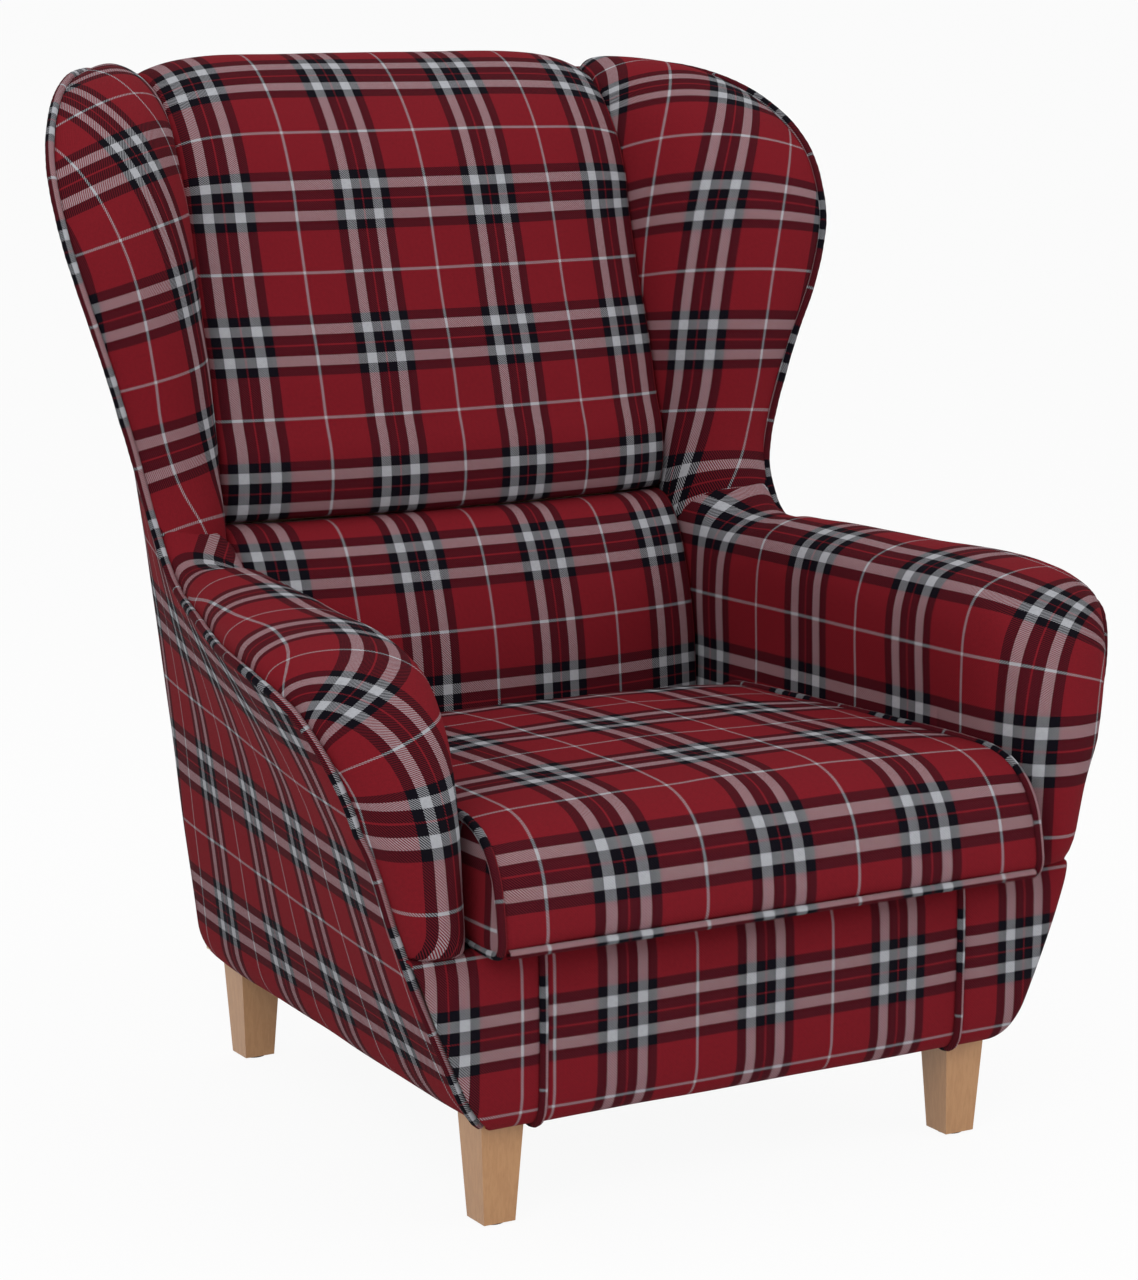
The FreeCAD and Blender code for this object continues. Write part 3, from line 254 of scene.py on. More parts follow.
def plastic(name, colour):
    finish = Finish(name)
    place = finish.node("TexCoord").out("Object")
    grit = finish.noise(place, 600, 3)
    tone = finish.mix(grit * 0.6, colour, [0.6 * part for part in colour])
    relief = finish.node("Bump", None, {"Strength": 0.2, "Distance": 0.0002, "Height": grit})
    return finish.close(Base_Color=tone, Roughness=grit * 0.2 + 0.45, Normal=relief)


steelFinish = metal("zinc_steel", (0.58, 0.59, 0.60))
glideFinish = plastic("nylon_glide", (0.05, 0.042, 0.036))
print("materials ready")


def partWay(value, start, end):
    # 0 at the start and before it, 1 at the end and beyond it
    return min(max((value - start) / (end - start), 0), 1)


def lengthAlong(line):
    return np.concatenate([[0], np.cumsum(np.linalg.norm(np.diff(line, axis=0), axis=1))])


def runAcross(grid):
    # length along each row of a grid
    steps = np.linalg.norm(np.diff(grid, axis=1), axis=2)
    return np.concatenate([np.zeros((grid.shape[0], 1)), np.cumsum(steps, axis=1)], axis=1)


def curveAt(knots, values, slopes, spots):
    # smooth curve through the values at the knots, with the slopes given there
    step = np.clip(np.searchsorted(knots, spots, side="right") - 1, 0, len(knots) - 2)
    shape = (-1,) + (1,) * (values.ndim - 1)
    span = (knots[step + 1] - knots[step]).reshape(shape)
    t = (spots - knots[step]).reshape(shape) / span
    return ((1 + 2 * t) * (1 - t) ** 2 * values[step] + t * (1 - t) ** 2 * span * slopes[step]
            + t * t * (3 - 2 * t) * values[step + 1] - t * t * (1 - t) * span * slopes[step + 1])


def smoothPath(points, count, closed=False):
    # evenly spaced points on a smooth curve through the given ones
    knotPoints = np.array(points, float)
    if closed:
        knotPoints = np.vstack([knotPoints, knotPoints[:1]])
    gaps = np.linalg.norm(np.diff(knotPoints, axis=0), axis=1)
    knots = np.concatenate([[0], np.cumsum(np.maximum(gaps, 1e-6) ** 0.6)])
    slopes = np.gradient(knotPoints, knots, axis=0)
    if closed:
        joined = knots[1] - knots[0] + knots[-1] - knots[-2]
        slopes[0] = slopes[-1] = (knotPoints[1] - knotPoints[-2]) / joined
    fine = np.linspace(0, knots[-1], 60 * len(knotPoints))
    curve = curveAt(knots, knotPoints, slopes, fine)
    run = lengthAlong(curve)
    ticks = np.linspace(0, run[-1], count + 1 if closed else count)
    if closed:
        ticks = ticks[:-1]
    return np.stack([np.interp(ticks, run, curve[:, k]) for k in range(curve.shape[1])], 1)


def smoothRows(rows, count):
    # the same for rows of points: one smooth curve down each column
    block = np.array(rows, float)
    knots = np.concatenate([[0], np.cumsum(
        np.linalg.norm(np.diff(block, axis=0), axis=2).mean(axis=1))])
    slopes = np.gradient(block, knots, axis=0)
    return curveAt(knots, block, slopes, np.linspace(0, knots[-1], count))


def inFrame(points):
    placed = np.array(points, float)
    placed[..., 1] += borderY
    return placed * toMetres


def newPiece(name, grids, material, weld=0.00005, inside=None):
    # grids: (points, uv, wraps) each; a wrapping grid closes on itself across its columns
    corners, faces, marks = [], [], []
    for points, uv, wraps in grids:
        rows, columns = points.shape[:2]
        first = len(corners)
        corners.extend(map(tuple, inFrame(points).reshape(-1, 3)))
        for i in range(rows - 1):
            for j in range(columns if wraps else columns - 1):
                k = (j + 1) % columns
                a, b = first + i * columns, first + (i + 1) * columns
                faces.append((a + j, a + k, b + k, b + j))
                marks.append((uv[i, j], uv[i, j + 1], uv[i + 1, j + 1], uv[i + 1, j]))
    mesh = bpy.data.meshes.new(name)
    mesh.from_pydata(corners, [], faces)
    layer = mesh.uv_layers.new(name="cloth")
    layer.data.foreach_set("uv", np.array(marks, float).ravel())
    work = bmesh.new()
    work.from_mesh(mesh)
    bmesh.ops.remove_doubles(work, verts=work.verts, dist=weld)
    bmesh.ops.dissolve_degenerate(work, edges=work.edges, dist=1e-6)
    bmesh.ops.recalc_face_normals(work, faces=work.faces)
    if inside is not None:
        centre = Vector(inFrame(np.array(inside)))
        if sum(face.normal.dot(face.calc_center_median() - centre) for face in work.faces) < 0:
            bmesh.ops.reverse_faces(work, faces=work.faces)
    for face in work.faces:
        face.smooth = True
    work.to_mesh(mesh)
    work.free()
    mesh.materials.append(material)
    piece = bpy.data.objects.new(name, mesh)
    bpy.context.scene.collection.objects.link(piece)
    return piece


def thicken(piece, thick):
    shell = piece.modifiers.new("thickness", "SOLIDIFY")
    shell.thickness = thick * toMetres
    shell.offset = -1


def ruffle(piece, swell, size, seed):
    # low soft waves over a piece, so that no cloth is quite even
    mesh = piece.data
    for vertex in mesh.vertices:
        wave = noise.noise(vertex.co / (size * toMetres) + Vector((seed, 2 * seed, 3 * seed)))
        vertex.co += vertex.normal * wave * swell * toMetres


def cordGrid(centres, radius, repeat, start, face):
    # tube round a smooth path, its cloth cut along a dark band of the check
    around, spread, middle = 12, 0.185, 0.53
    centres = np.array(centres, float)
    along = np.gradient(centres, axis=0)
    along /= np.linalg.norm(along, axis=1)[:, None]
    face = np.array(face, float)
    rows, uv = [], []
    run = 0
    for i, (centre, way) in enumerate(zip(centres, along)):
        first = face - way * face.dot(way)
        first /= np.linalg.norm(first)
        second = np.cross(way, first)
        if i:
            run += np.linalg.norm(centre - centres[i - 1])
        pucker = 1 + 0.05 * math.sin(run * 0.9) * math.sin(run * 0.23 + 1)
        turns = [2 * math.pi * k / around for k in range(around + 1)]
        rows.append([centre + radius * pucker * (math.cos(a) * first + math.sin(a) * second)
                     for a in turns[:-1]])
        uv.append([(middle + spread * (a / (2 * math.pi) - 0.5), start + run / repeat)
                   for a in turns])
    return np.array(rows), np.array(uv), True


# how far the sides lean out towards the front: height, slope
splay = [(98, 0.045), (200, 0.102), (290, 0.14), (390, 0.18), (560, 0.33), (700, 0.44),
         (935, 0.68), (1040, 0.75)]
splaySlopes = []
for spot in range(len(splay)):
    below, above = splay[max(spot - 1, 0)], splay[min(spot + 1, len(splay) - 1)]
    splaySlopes.append((above[1] - below[1]) / (above[0] - below[0]))


def splayAt(height):
    step = 0
    while step < len(splay) - 2 and height > splay[step + 1][0]:
        step += 1
    span = splay[step + 1][0] - splay[step][0]
    t = (height - splay[step][0]) / span
    return ((1 + 2 * t) * (1 - t) ** 2 * splay[step][1] + t * (1 - t) ** 2 * span * splaySlopes[step]
            + t * t * (3 - 2 * t) * splay[step + 1][1]
            - t * t * (1 - t) * span * splaySlopes[step + 1])


def rolledUnder(z):
    # how far the cloth turns in at the bottom of the body
    t = partWay(z, 140, foot)
    return 24 * (1 - math.sqrt(max(1 - t * t, 0)))


def rearDepth(z):
    return 675 + 0.163 * (z - foot)


def rearHalf(z):
    return 268 + 32 * partWay(z, foot, 698)


def sideHalf(depth, z):
    # half the width of the body's outside
    reach = max(258.5 - depth, 0)
    fade = partWay(z, 390, 498)
    return (rearHalf(z) + splayAt(z) * (rearDepth(z) - depth)
            - 0.0006 * fade * reach ** 2 - rolledUnder(z))


def innerHalf(depth):
    # half the room between the arms
    return 305.5 - 34 * partWay(depth, 20, 520)


# outline of arm and wing: depth, height, from the foot to the back of the top
outline = [(28, 103), (14, 118), (10, 160), (10, 206), (17, 260), (19, 288), (21, 310), (22, 344),
           (24, 390), (33, 435), (48, 474), (72, 503), (110, 518), (160, 526), (222, 527),
           (262, 527), (350, 531), (430, 532), (473, 535), (508, 545), (530, 563), (543, 582),
           (553, 601), (559, 627), (561, 655), (561, 693), (559, 740), (555, 805), (562, 866),
           (573, 897), (592, 935), (612, 962), (635, 984), (662, 1003), (695, 1019), (733, 1030),
           (772, 1034), (805, 1034), (822, 1031)]
outlineLine = smoothPath(outline, 220)


def sidePoint(depth, z, proud=0):
    return (sideHalf(depth, z) + proud, depth, z)


def mirror(points, side):
    flipped = np.array(points, float)
    flipped[..., 0] *= side
    return flipped


def declare(piece, body, nodes):
    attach(piece, body)
    if nodes:
        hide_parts(*nodes)


# legs and the hidden frame keep their CAD shape
nodeFinish = {"leg_glides": glideFinish, "hanger_bolts": steelFinish, "tee_nuts": steelFinish,
              "seat_springs": steelFinish, "spring_clips": steelFinish}
woodNames = ("corner_block", "front_rail", "rear_rail", "rear_post", "back_top", "back_seam",
             "back_lower", "side_rail", "front_post", "arm_rail")
for name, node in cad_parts.items():
    if name in nodeFinish:
        finish = nodeFinish[name]
    elif name.startswith("leg_"):
        finish = legWood
    elif name.startswith("wing_board"):
        finish = boardWood
    elif name.startswith(woodNames):
        finish = frameWood
    else:
        finish = foamCloth
    node.data.materials.clear()
    node.data.materials.append(finish)
    if name.startswith("leg_") and name != "leg_glides":
        edge = node.modifiers.new("eased", "BEVEL")
        edge.width = 0.0016
        edge.segments = 3
        edge.limit_method = "ANGLE"
        edge.angle_limit = math.radians(40)
        for face in node.data.polygons:
            face.use_smooth = False
print("frame dressed")


backSet = {"period": 153, "puff": 5, "rows": 60, "columns": 40}  # thicker in the middle by the puff


def makeOutsideBack():
    rows, uv = [], []
    for z in np.linspace(foot, top, backSet["rows"]):
        half = rearHalf(z) - 1 - rolledUnder(z)
        line, marks = [], []
        for share in np.linspace(-1, 1, backSet["columns"]):
            t = partWay(z, foot, top)
            edge = (1 - share ** 8) * (1 - (2 * t - 1) ** 12)
            line.append((share * half, rearDepth(z) - 5 + backSet["puff"] * edge - rolledUnder(z), z))
            marks.append((0.5 + share * half / backSet["period"],
                          0.5 + (z - bandHeight) / backSet["period"]))
        rows.append(line)
        uv.append(marks)
    piece = newPiece("outside_back_cloth", [(np.array(rows), np.array(uv), False)], tartanCloth,
                     inside=(0, 300, 500))
    ruffle(piece, 0.9, 150, 11)
    thicken(piece, 3)
    declare(piece, "chair", ["outside_back"])


sideSet = {"columns": 46, "puff": 3.5, "bandDepth": 40, "bandHeight": 175.5}
# heights where the outline's arm and top begin and end, and the rear edge's heights across from them
sideSpan = {"arm": (435, 601), "top": 962, "rearArm": (400, 601), "rearTop": 930, "rearEnd": 1029}


def rearHeights():
    # the height at the rear edge across from each point of the outline
    run = lengthAlong(outlineLine)
    armLow, armHigh = sideSpan["arm"]
    startArm = run[np.argmax(outlineLine[:, 1] > armLow)]
    endArm = run[np.argmax((outlineLine[:, 1] > armHigh) & (outlineLine[:, 0] > 500))]
    startTop = run[np.argmax(outlineLine[:, 1] > sideSpan["top"])]
    return np.interp(run, [0, startArm, endArm, startTop, run[-1]],
                     [foot, *sideSpan["rearArm"], sideSpan["rearTop"], sideSpan["rearEnd"]])


def makeSides():
    rows, uv = [], []
    for (depth, z), zRear in zip(outlineLine, rearHeights()):
        line, marks = [], []
        for share in np.linspace(0, 1, sideSet["columns"]):
            d = depth - 1 + share * (rearDepth(zRear) - 1 - rolledUnder(zRear) - depth)
            h = z + share * (zRear - z)
            edge = 1 - (2 * share - 1) ** 6
            line.append(sidePoint(d, h, -1.5 + sideSet["puff"] * edge))
            marks.append(((d - sideSet["bandDepth"]) / repeat, 0.5 + (h - sideSet["bandHeight"]) / repeat))
        rows.append(line)
        uv.append(marks)
    for side, sign in sides.items():
        piece = newPiece("side_cloth_" + side, [(mirror(rows, sign), np.array(uv), False)],
                         tartanCloth, inside=(0, 300, 500))
        ruffle(piece, 1.2, 120, 5 + sign)
        thicken(piece, 3)
        declare(piece, "chair", ["side_panel_" + side])


makeOutsideBack()
makeSides()
print("outside made")


def makeOutlineCord():
    for side, sign in sides.items():
        line = smoothPath(outline, 330)
        centres = [sidePoint(d, z, -1) for d, z in line]
        piece = newPiece("outline_cord_" + side,
                         [cordGrid(mirror(centres, sign), 4.6, repeat, 0.2, (-sign, -0.4, 0.2))],
                         pipingCloth)
        declare(piece, "chair", ["outline_piping_" + side])


# welt: how far the welts stand from the middle; middle: where a band of the check runs up
borderSet = {"middle": 5.4, "welt": 234, "puff": 4, "cornerPuff": 3,
             "cornerShift": {"left": 35, "right": 0}}
borderSection = [(16, 274), (4, 272), (0.5, 262), (-1, 235), (-1.5, 200), (-1, 150), (0, 125),
                 (3, 111), (10, 102), (22, 98), (34, 102), (40, 110)]


def borderGrid(xs, puff, flare=None):
    # flare gives the end of each row at its height
    section = smoothPath(borderSection, 60)
    rows, uv = [], []
    lengths = lengthAlong(section)
    atBand = np.interp(-bandHeight, -section[:, 1], lengths)
    for (depth, z), along in zip(section, lengths):
        line, marks = [], []
        for share in np.linspace(0, 1, xs["count"]):
            x = xs["from"] + share * ((flare(z) if flare else xs["to"]) - xs["from"])
            edge = 1 - (2 * share - 1) ** 8
            upper = partWay(z, 100, 130) * partWay(z, 270, 250)
            line.append((x, depth + 1.5 - puff * edge * upper, z))
            marks.append((0.5 + (x - borderSet["middle"]) / repeat, 0.5 - (along - atBand) / repeat))
        rows.append(line)
        uv.append(marks)
    return np.array(rows), np.array(uv), False


def makeBorder():
    inner = borderSet["welt"] - 3
    piece = newPiece("front_border", [borderGrid({"from": -inner, "to": inner, "count": 90},
                                                 borderSet["puff"])], tartanCloth,
                     inside=(0, 300, 200))
    ruffle(piece, 1.0, 90, 3)
    thicken(piece, 2)
    declare(piece, "chair", ["front_border_cover", "front_border_pad"])
    for side, sign in sides.items():
        points, uv, wraps = borderGrid({"from": borderSet["welt"] + 3, "count": 26},
                                       borderSet["cornerPuff"],
                                       flare=lambda z: sideHalf(18, max(z, 100)) - 1.5)
        points = mirror(points, sign)
        shift = borderSet["cornerShift"][side]
        uv[..., 0] = 0.5 + (points[..., 0] - borderSet["middle"] + shift) / repeat
        piece = newPiece("front_corner_" + side, [(points, uv, wraps)], tartanCloth,
                         inside=(0, 300, 200))
        ruffle(piece, 1.0, 80, 4)
        thicken(piece, 2)
        declare(piece, "chair", ["corner_cover_" + side])
    grids = []
    for sign in (-1, 1):
        line = smoothPath(borderSection[1:], 110)
        centres = [(sign * borderSet["welt"], d + 1.2, z) for d, z in line]
        grids.append(cordGrid(centres, 4.5, repeat, 0.1, (0, -1, 0.01)))
    piece = newPiece("border_cords", grids, pipingCloth)
    declare(piece, "chair", ["border_welts"])


makeOutlineCord()
makeBorder()
print("front made")


# the arm's padding turns round a pivot, from the front up to the top
armSet = {"period": 168.2, "pivotDepth": 132, "pivotZ": 415, "low": 266, "rear": 600,
          "bulgeNose": 39, "bulgeTop": 31, "phase": {"left": (0.62, 0.1), "right": (0.44, 0.19)}}


def polarRadius(angle):
    # distance of the outline from the arm's pivot
    pivot = np.array([armSet["pivotDepth"], armSet["pivotZ"]])
    part = outlineLine[(outlineLine[:, 1] > 380) & (outlineLine[:, 0] < 260)] - pivot
    turn = np.degrees(np.arctan2(part[:, 1], part[:, 0])) % 360
    order = np.argsort(turn)
    return float(np.interp(angle, turn[order], np.hypot(part[order, 0], part[order, 1])))


def armStations():
    # pivot's depth and height, way out from it, radius, bulge and slope for each row of the arm
    stations = []
    for z in np.linspace(armSet["low"], armSet["pivotZ"], 15)[:-1]:
        part = outlineLine[outlineLine[:, 0] < 60]
        edge = float(np.interp(z, part[:, 1], part[:, 0]))
        t = partWay(z, armSet["low"], armSet["low"] + 48)
        full = math.sqrt(1 - (1 - t) ** 2)
        stations.append((armSet["pivotDepth"], z, -1, 0, armSet["pivotDepth"] - edge,
                         armSet["bulgeNose"] * (0.06 + 0.94 * full), 0))
    for angle in np.linspace(180, 90, 17)[:-1]:
        turn = math.radians(angle)
        blend = (180 - angle) / 90
        bulge = armSet["bulgeNose"] + blend * (armSet["bulgeTop"] - armSet["bulgeNose"])
        stations.append((armSet["pivotDepth"], armSet["pivotZ"], math.cos(turn), math.sin(turn),
                         polarRadius(angle), bulge, 0))
    part = outlineLine[(outlineLine[:, 0] > 100) & (outlineLine[:, 1] < 640)]
    for depth in np.linspace(armSet["pivotDepth"], armSet["rear"], 30):
        edge = float(np.interp(min(depth, 545), part[:, 0], part[:, 1]))
        rise = partWay(depth, 440, 545)
        bulge = armSet["bulgeTop"] - 10 * rise
        stations.append((depth, armSet["pivotZ"], 0, 1, edge - armSet["pivotZ"], bulge, 30 * rise))
    return stations


def armSection(station, count):
    depth, z, outDepth, outZ, radius, bulge, slope = station
    edgeDepth, edgeZ = depth + radius * outDepth, z + radius * outZ
    outer = sideHalf(edgeDepth, edgeZ) - 4
    inner = innerHalf(max(edgeDepth, 20))
    wide = outer - inner
    profile = [(outer, -3), (outer - 0.035 * wide, 0.42 * bulge), (outer - 0.16 * wide, 0.80 * bulge),
               (outer - 0.42 * wide, bulge), (outer - 0.70 * wide, 0.86 * bulge),
               (outer - 0.90 * wide, 0.42 * bulge), (inner + 0.01 * wide, -0.35 * bulge - 4),
               (inner - 1.5, -1.3 * bulge - 8), (inner, -radius)]
    line = []
    for x, r in smoothPath(profile, count):
        share = partWay(x, outer, inner)
        reach = radius + r - slope * share * max(1 + r / radius, 0)
        pointDepth = depth + reach * outDepth
        x += share * (innerHalf(max(pointDepth, 20)) - inner)
        line.append((x, pointDepth, z + reach * outZ))
    return line


def makeArms():
    stations = armStations()
    rows = np.array([armSection(station, 58) for station in stations])
    width = runAcross(rows)
    uv = np.zeros(rows.shape[:2] + (2,))
    low, lowUv = [], []  # the inner face below the pivot, beside the cushion
    lowest = 272
    for i, (depth, z, outDepth, outZ, *_) in enumerate(stations):
        reach = width[i, -1] - width[i]
        uv[i, :, 0] = (depth + reach * outDepth) / armSet["period"]
        uv[i, :, 1] = (z + reach * outZ) / armSet["period"]
        if outZ == 1:
            x, d, h = rows[i, -1]
            drop = np.linspace(0, 1, 14)
            low.append([(x, d, h + t * (lowest - h)) for t in drop])
            lowUv.append([(uv[i, -1, 0], uv[i, -1, 1] - t * (h - lowest) / armSet["period"])
                          for t in drop])
    for side, sign in sides.items():
        shift = np.array(armSet["phase"][side])
        piece = newPiece("arm_" + side, [(mirror(rows, sign), uv + shift, False),
                                         (mirror(low, sign), np.array(lowUv) + shift, False)],
                         tartanCloth, weld=0.0002, inside=(sign * 360, 300, 400))
        ruffle(piece, 1.3, 70, 7 + sign)
        thicken(piece, 2)
        declare(piece, "chair", ["arm_cover_" + side, "arm_pad_" + side])


makeArms()
print("arms made")


# fan: how much the upright bands lean away from the crease above fanZ
wingSet = {"period": 153, "phase": {"left": (0, 0.4), "right": (0, 0)},
           "tilt": {"left": 0.16, "right": 0}, "fan": 0.339, "fanZ": 660, "lineZ": 818.2}
# outline depth and height, crease x, depth, height, and how far the pad swells
wingRows = [
    (500, 541, 268, 596, 480, 22), (528, 561, 269, 600, 520, 26), (545, 588, 270, 600, 570, 30),
    (559, 627, 270, 606, 627, 30), (562, 693, 270, 618, 690, 34), (559, 740, 269, 633, 740, 38),
    (555, 805, 268, 654, 800, 42), (562, 866, 267, 673, 860, 45), (573, 897, 266, 683, 897, 45),
    (592, 935, 266, 696, 935, 42), (617, 966, 266, 710, 970, 36), (645, 991, 267, 724, 993, 29),
    (682, 1014, 268, 740, 1010, 22), (725, 1028, 270, 757, 1021, 16), (768, 1034, 272, 780, 1028, 12),
    (805, 1034, 277, 802, 1031, 8), (822, 1031, 290, 818, 1031, 3)]


def makeWings():
    across = 44
    coarse = []  # an arc from the outline to the crease in each row, then a tuck behind the back pad
    for i, (depth, z, creaseX, creaseDepth, creaseZ, swell) in enumerate(wingRows):
        before, after = wingRows[max(i - 1, 0)], wingRows[min(i + 1, len(wingRows) - 1)]
        a = np.array(sidePoint(depth, z, -4))
        b = np.array((creaseX, creaseDepth, creaseZ), float)
        way = np.array(sidePoint(*after[:2])) - np.array(sidePoint(*before[:2]))
        out = np.cross(a - b, way)
        out /= np.linalg.norm(out)
        if out[1] > 0 and out[2] < 0.3:
            out = -out
        if out[2] < -0.2:
            out[2] *= 0.3
            out /= np.linalg.norm(out)
        chord = a - b
        long = np.linalg.norm(chord)
        swell = min(swell, 0.42 * long)
        angle = 2 * math.atan(2 * swell / long)
        radius = long / (2 * math.sin(angle)) if angle > 1e-3 else 1e6
        line = []
        for share in np.linspace(0, 1, across):
            turn = angle * (1 - 2 * share)
            alongChord = 0.5 - radius * math.sin(turn) / long
            rise = radius * (math.cos(turn) - math.cos(angle))
            line.append(a - chord * alongChord + out * rise)
        tuck = b + np.array([-2, 15, 0]) if z < 1010 else b + np.array([-3, 4, -8])
        line.append(b * 0.5 + tuck * 0.5)
        line.append(tuck)
        coarse.append(line)
    rows = smoothRows(coarse, 120)
    fromCrease = runAcross(rows[:, ::-1])[:, ::-1]
    fromCrease = fromCrease - fromCrease[:, [-3]]
    uv = np.zeros(rows.shape[:2] + (2,))
    lean = wingSet["fan"] * (rows[..., 2] - wingSet["fanZ"])
    uv[..., 0] = 0.5 + (fromCrease - 30 - lean) / wingSet["period"]
    middle = rows[:, 20]
    run = lengthAlong(middle)
    zero = np.interp(wingSet["lineZ"], middle[:100, 2], run[:100])
    uv[..., 1] = (run[:, None] - zero) / wingSet["period"]
    for side, sign in sides.items():
        marks = uv + np.array(wingSet["phase"][side])
        marks[..., 1] += wingSet["tilt"][side] * fromCrease / wingSet["period"]
        piece = newPiece("wing_" + side, [(mirror(rows, sign), marks, False)], tartanCloth,
                         inside=(sign * 340, 700, 800))
        ruffle(piece, 1.4, 80, 15 + sign)
        thicken(piece, 2)
        declare(piece, "chair", ["wing_cover_" + side, "wing_pad_" + side])


makeWings()
print("wings made")


# two pads meet in a seam across the inside back; each section is depth, height
backPads = {"half": 270, "crown": 31, "period": 153, "columns": 72}
upperSection = [(604, 577), (590, 579), (579, 583), (573, 596), (570, 614), (570, 629), (573, 651),
                (584, 682), (594, 721), (605, 757), (616, 787), (629, 829.5), (646, 887),
                (656, 918), (684, 973), (726, 1021), (758, 1043), (790, 1051), (812, 1047),
                (823, 1036), (824, 1026)]
lowerSection = [(604, 575), (590, 577), (578, 576), (565, 572), (553, 563), (545, 553), (537, 541),
                (528, 522), (518, 495.5), (509, 462), (503, 429), (500.5, 401), (499, 380),
                (499, 340), (499, 300), (504, 276)]


def padGrid(section, count, zeroZ):
    # a thin line of the check crosses the pad at height zeroZ
    line = smoothPath(section, count)
    run = lengthAlong(line)
    order = np.argsort(line[:, 1])
    zero = np.interp(zeroZ, line[order, 1], run[order])
    rows, uv = [], []
    for (depth, z), along in zip(line, run):
        points, marks = [], []
        for share in np.linspace(-1, 1, backPads["columns"]):
            head = partWay(z, 886, 1051)
            x = share * backPads["half"]
            crown = backPads["crown"] * abs(share) ** 2.7 * (1 - 0.85 * head)
            drop = 24 * abs(share) ** 7 * head
            tuck = max(abs(share) - 0.965, 0) / 0.035
            points.append((x, depth + crown + 9 * tuck ** 2 * (1 - head),
                           z - drop - 5 * tuck ** 2 * head))
            marks.append((x / backPads["period"], (along - zero) / backPads["period"]))
        rows.append(points)
        uv.append(marks)
    return np.array(rows), np.array(uv), False


def makeBackPads():
    piece = newPiece("upper_back", [padGrid(upperSection, 130, 829.5)], tartanCloth,
                     inside=(0, 720, 800))
    ruffle(piece, 1.6, 95, 21)
    thicken(piece, 2)
    declare(piece, "chair", ["upper_back_cover", "upper_back_pad"])
    points, uv, wraps = padGrid(lowerSection, 80, 462)
    uv[..., 1] *= -1
    piece = newPiece("lower_back", [(points, uv, wraps)], tartanCloth, inside=(0, 620, 400))
    ruffle(piece, 1.6, 85, 23)
    thicken(piece, 2)
    declare(piece, "chair", ["lower_back_cover", "lower_back_pad"])


makeBackPads()
print("inside back made")


cushionSet = {"period": 168.2, "sideSwell": 8, "radius": 4.5, "lineDepth": 115.5, "hub": (225, 334)}
# seam round the side of the cushion: depth, height, and how far the sleeve swells beyond it
cushionLoop = [(489, 330, 3), (490, 300, 3), (487, 282, 1), (470, 276.5, 0), (380, 276, 0),
               (250, 276, 0), (120, 276, 0), (20, 276, 0), (-20, 276.5, 0), (-33, 279, 0),
               (-38.5, 288, 2), (-38, 302, 4), (-34, 325, 5), (-27, 347, 6), (-14, 366, 7),
               (6, 381, 8), (32, 388.5, 9), (70, 391, 10), (130, 391, 11), (200, 390, 12),
               (280, 388.5, 12), (360, 387, 11), (430, 385, 9), (464, 381, 7), (482, 370, 5),
               (488, 350, 4)]


def cushionHalf(depth):
    return 298 - 34 * partWay(depth, -42, 498)


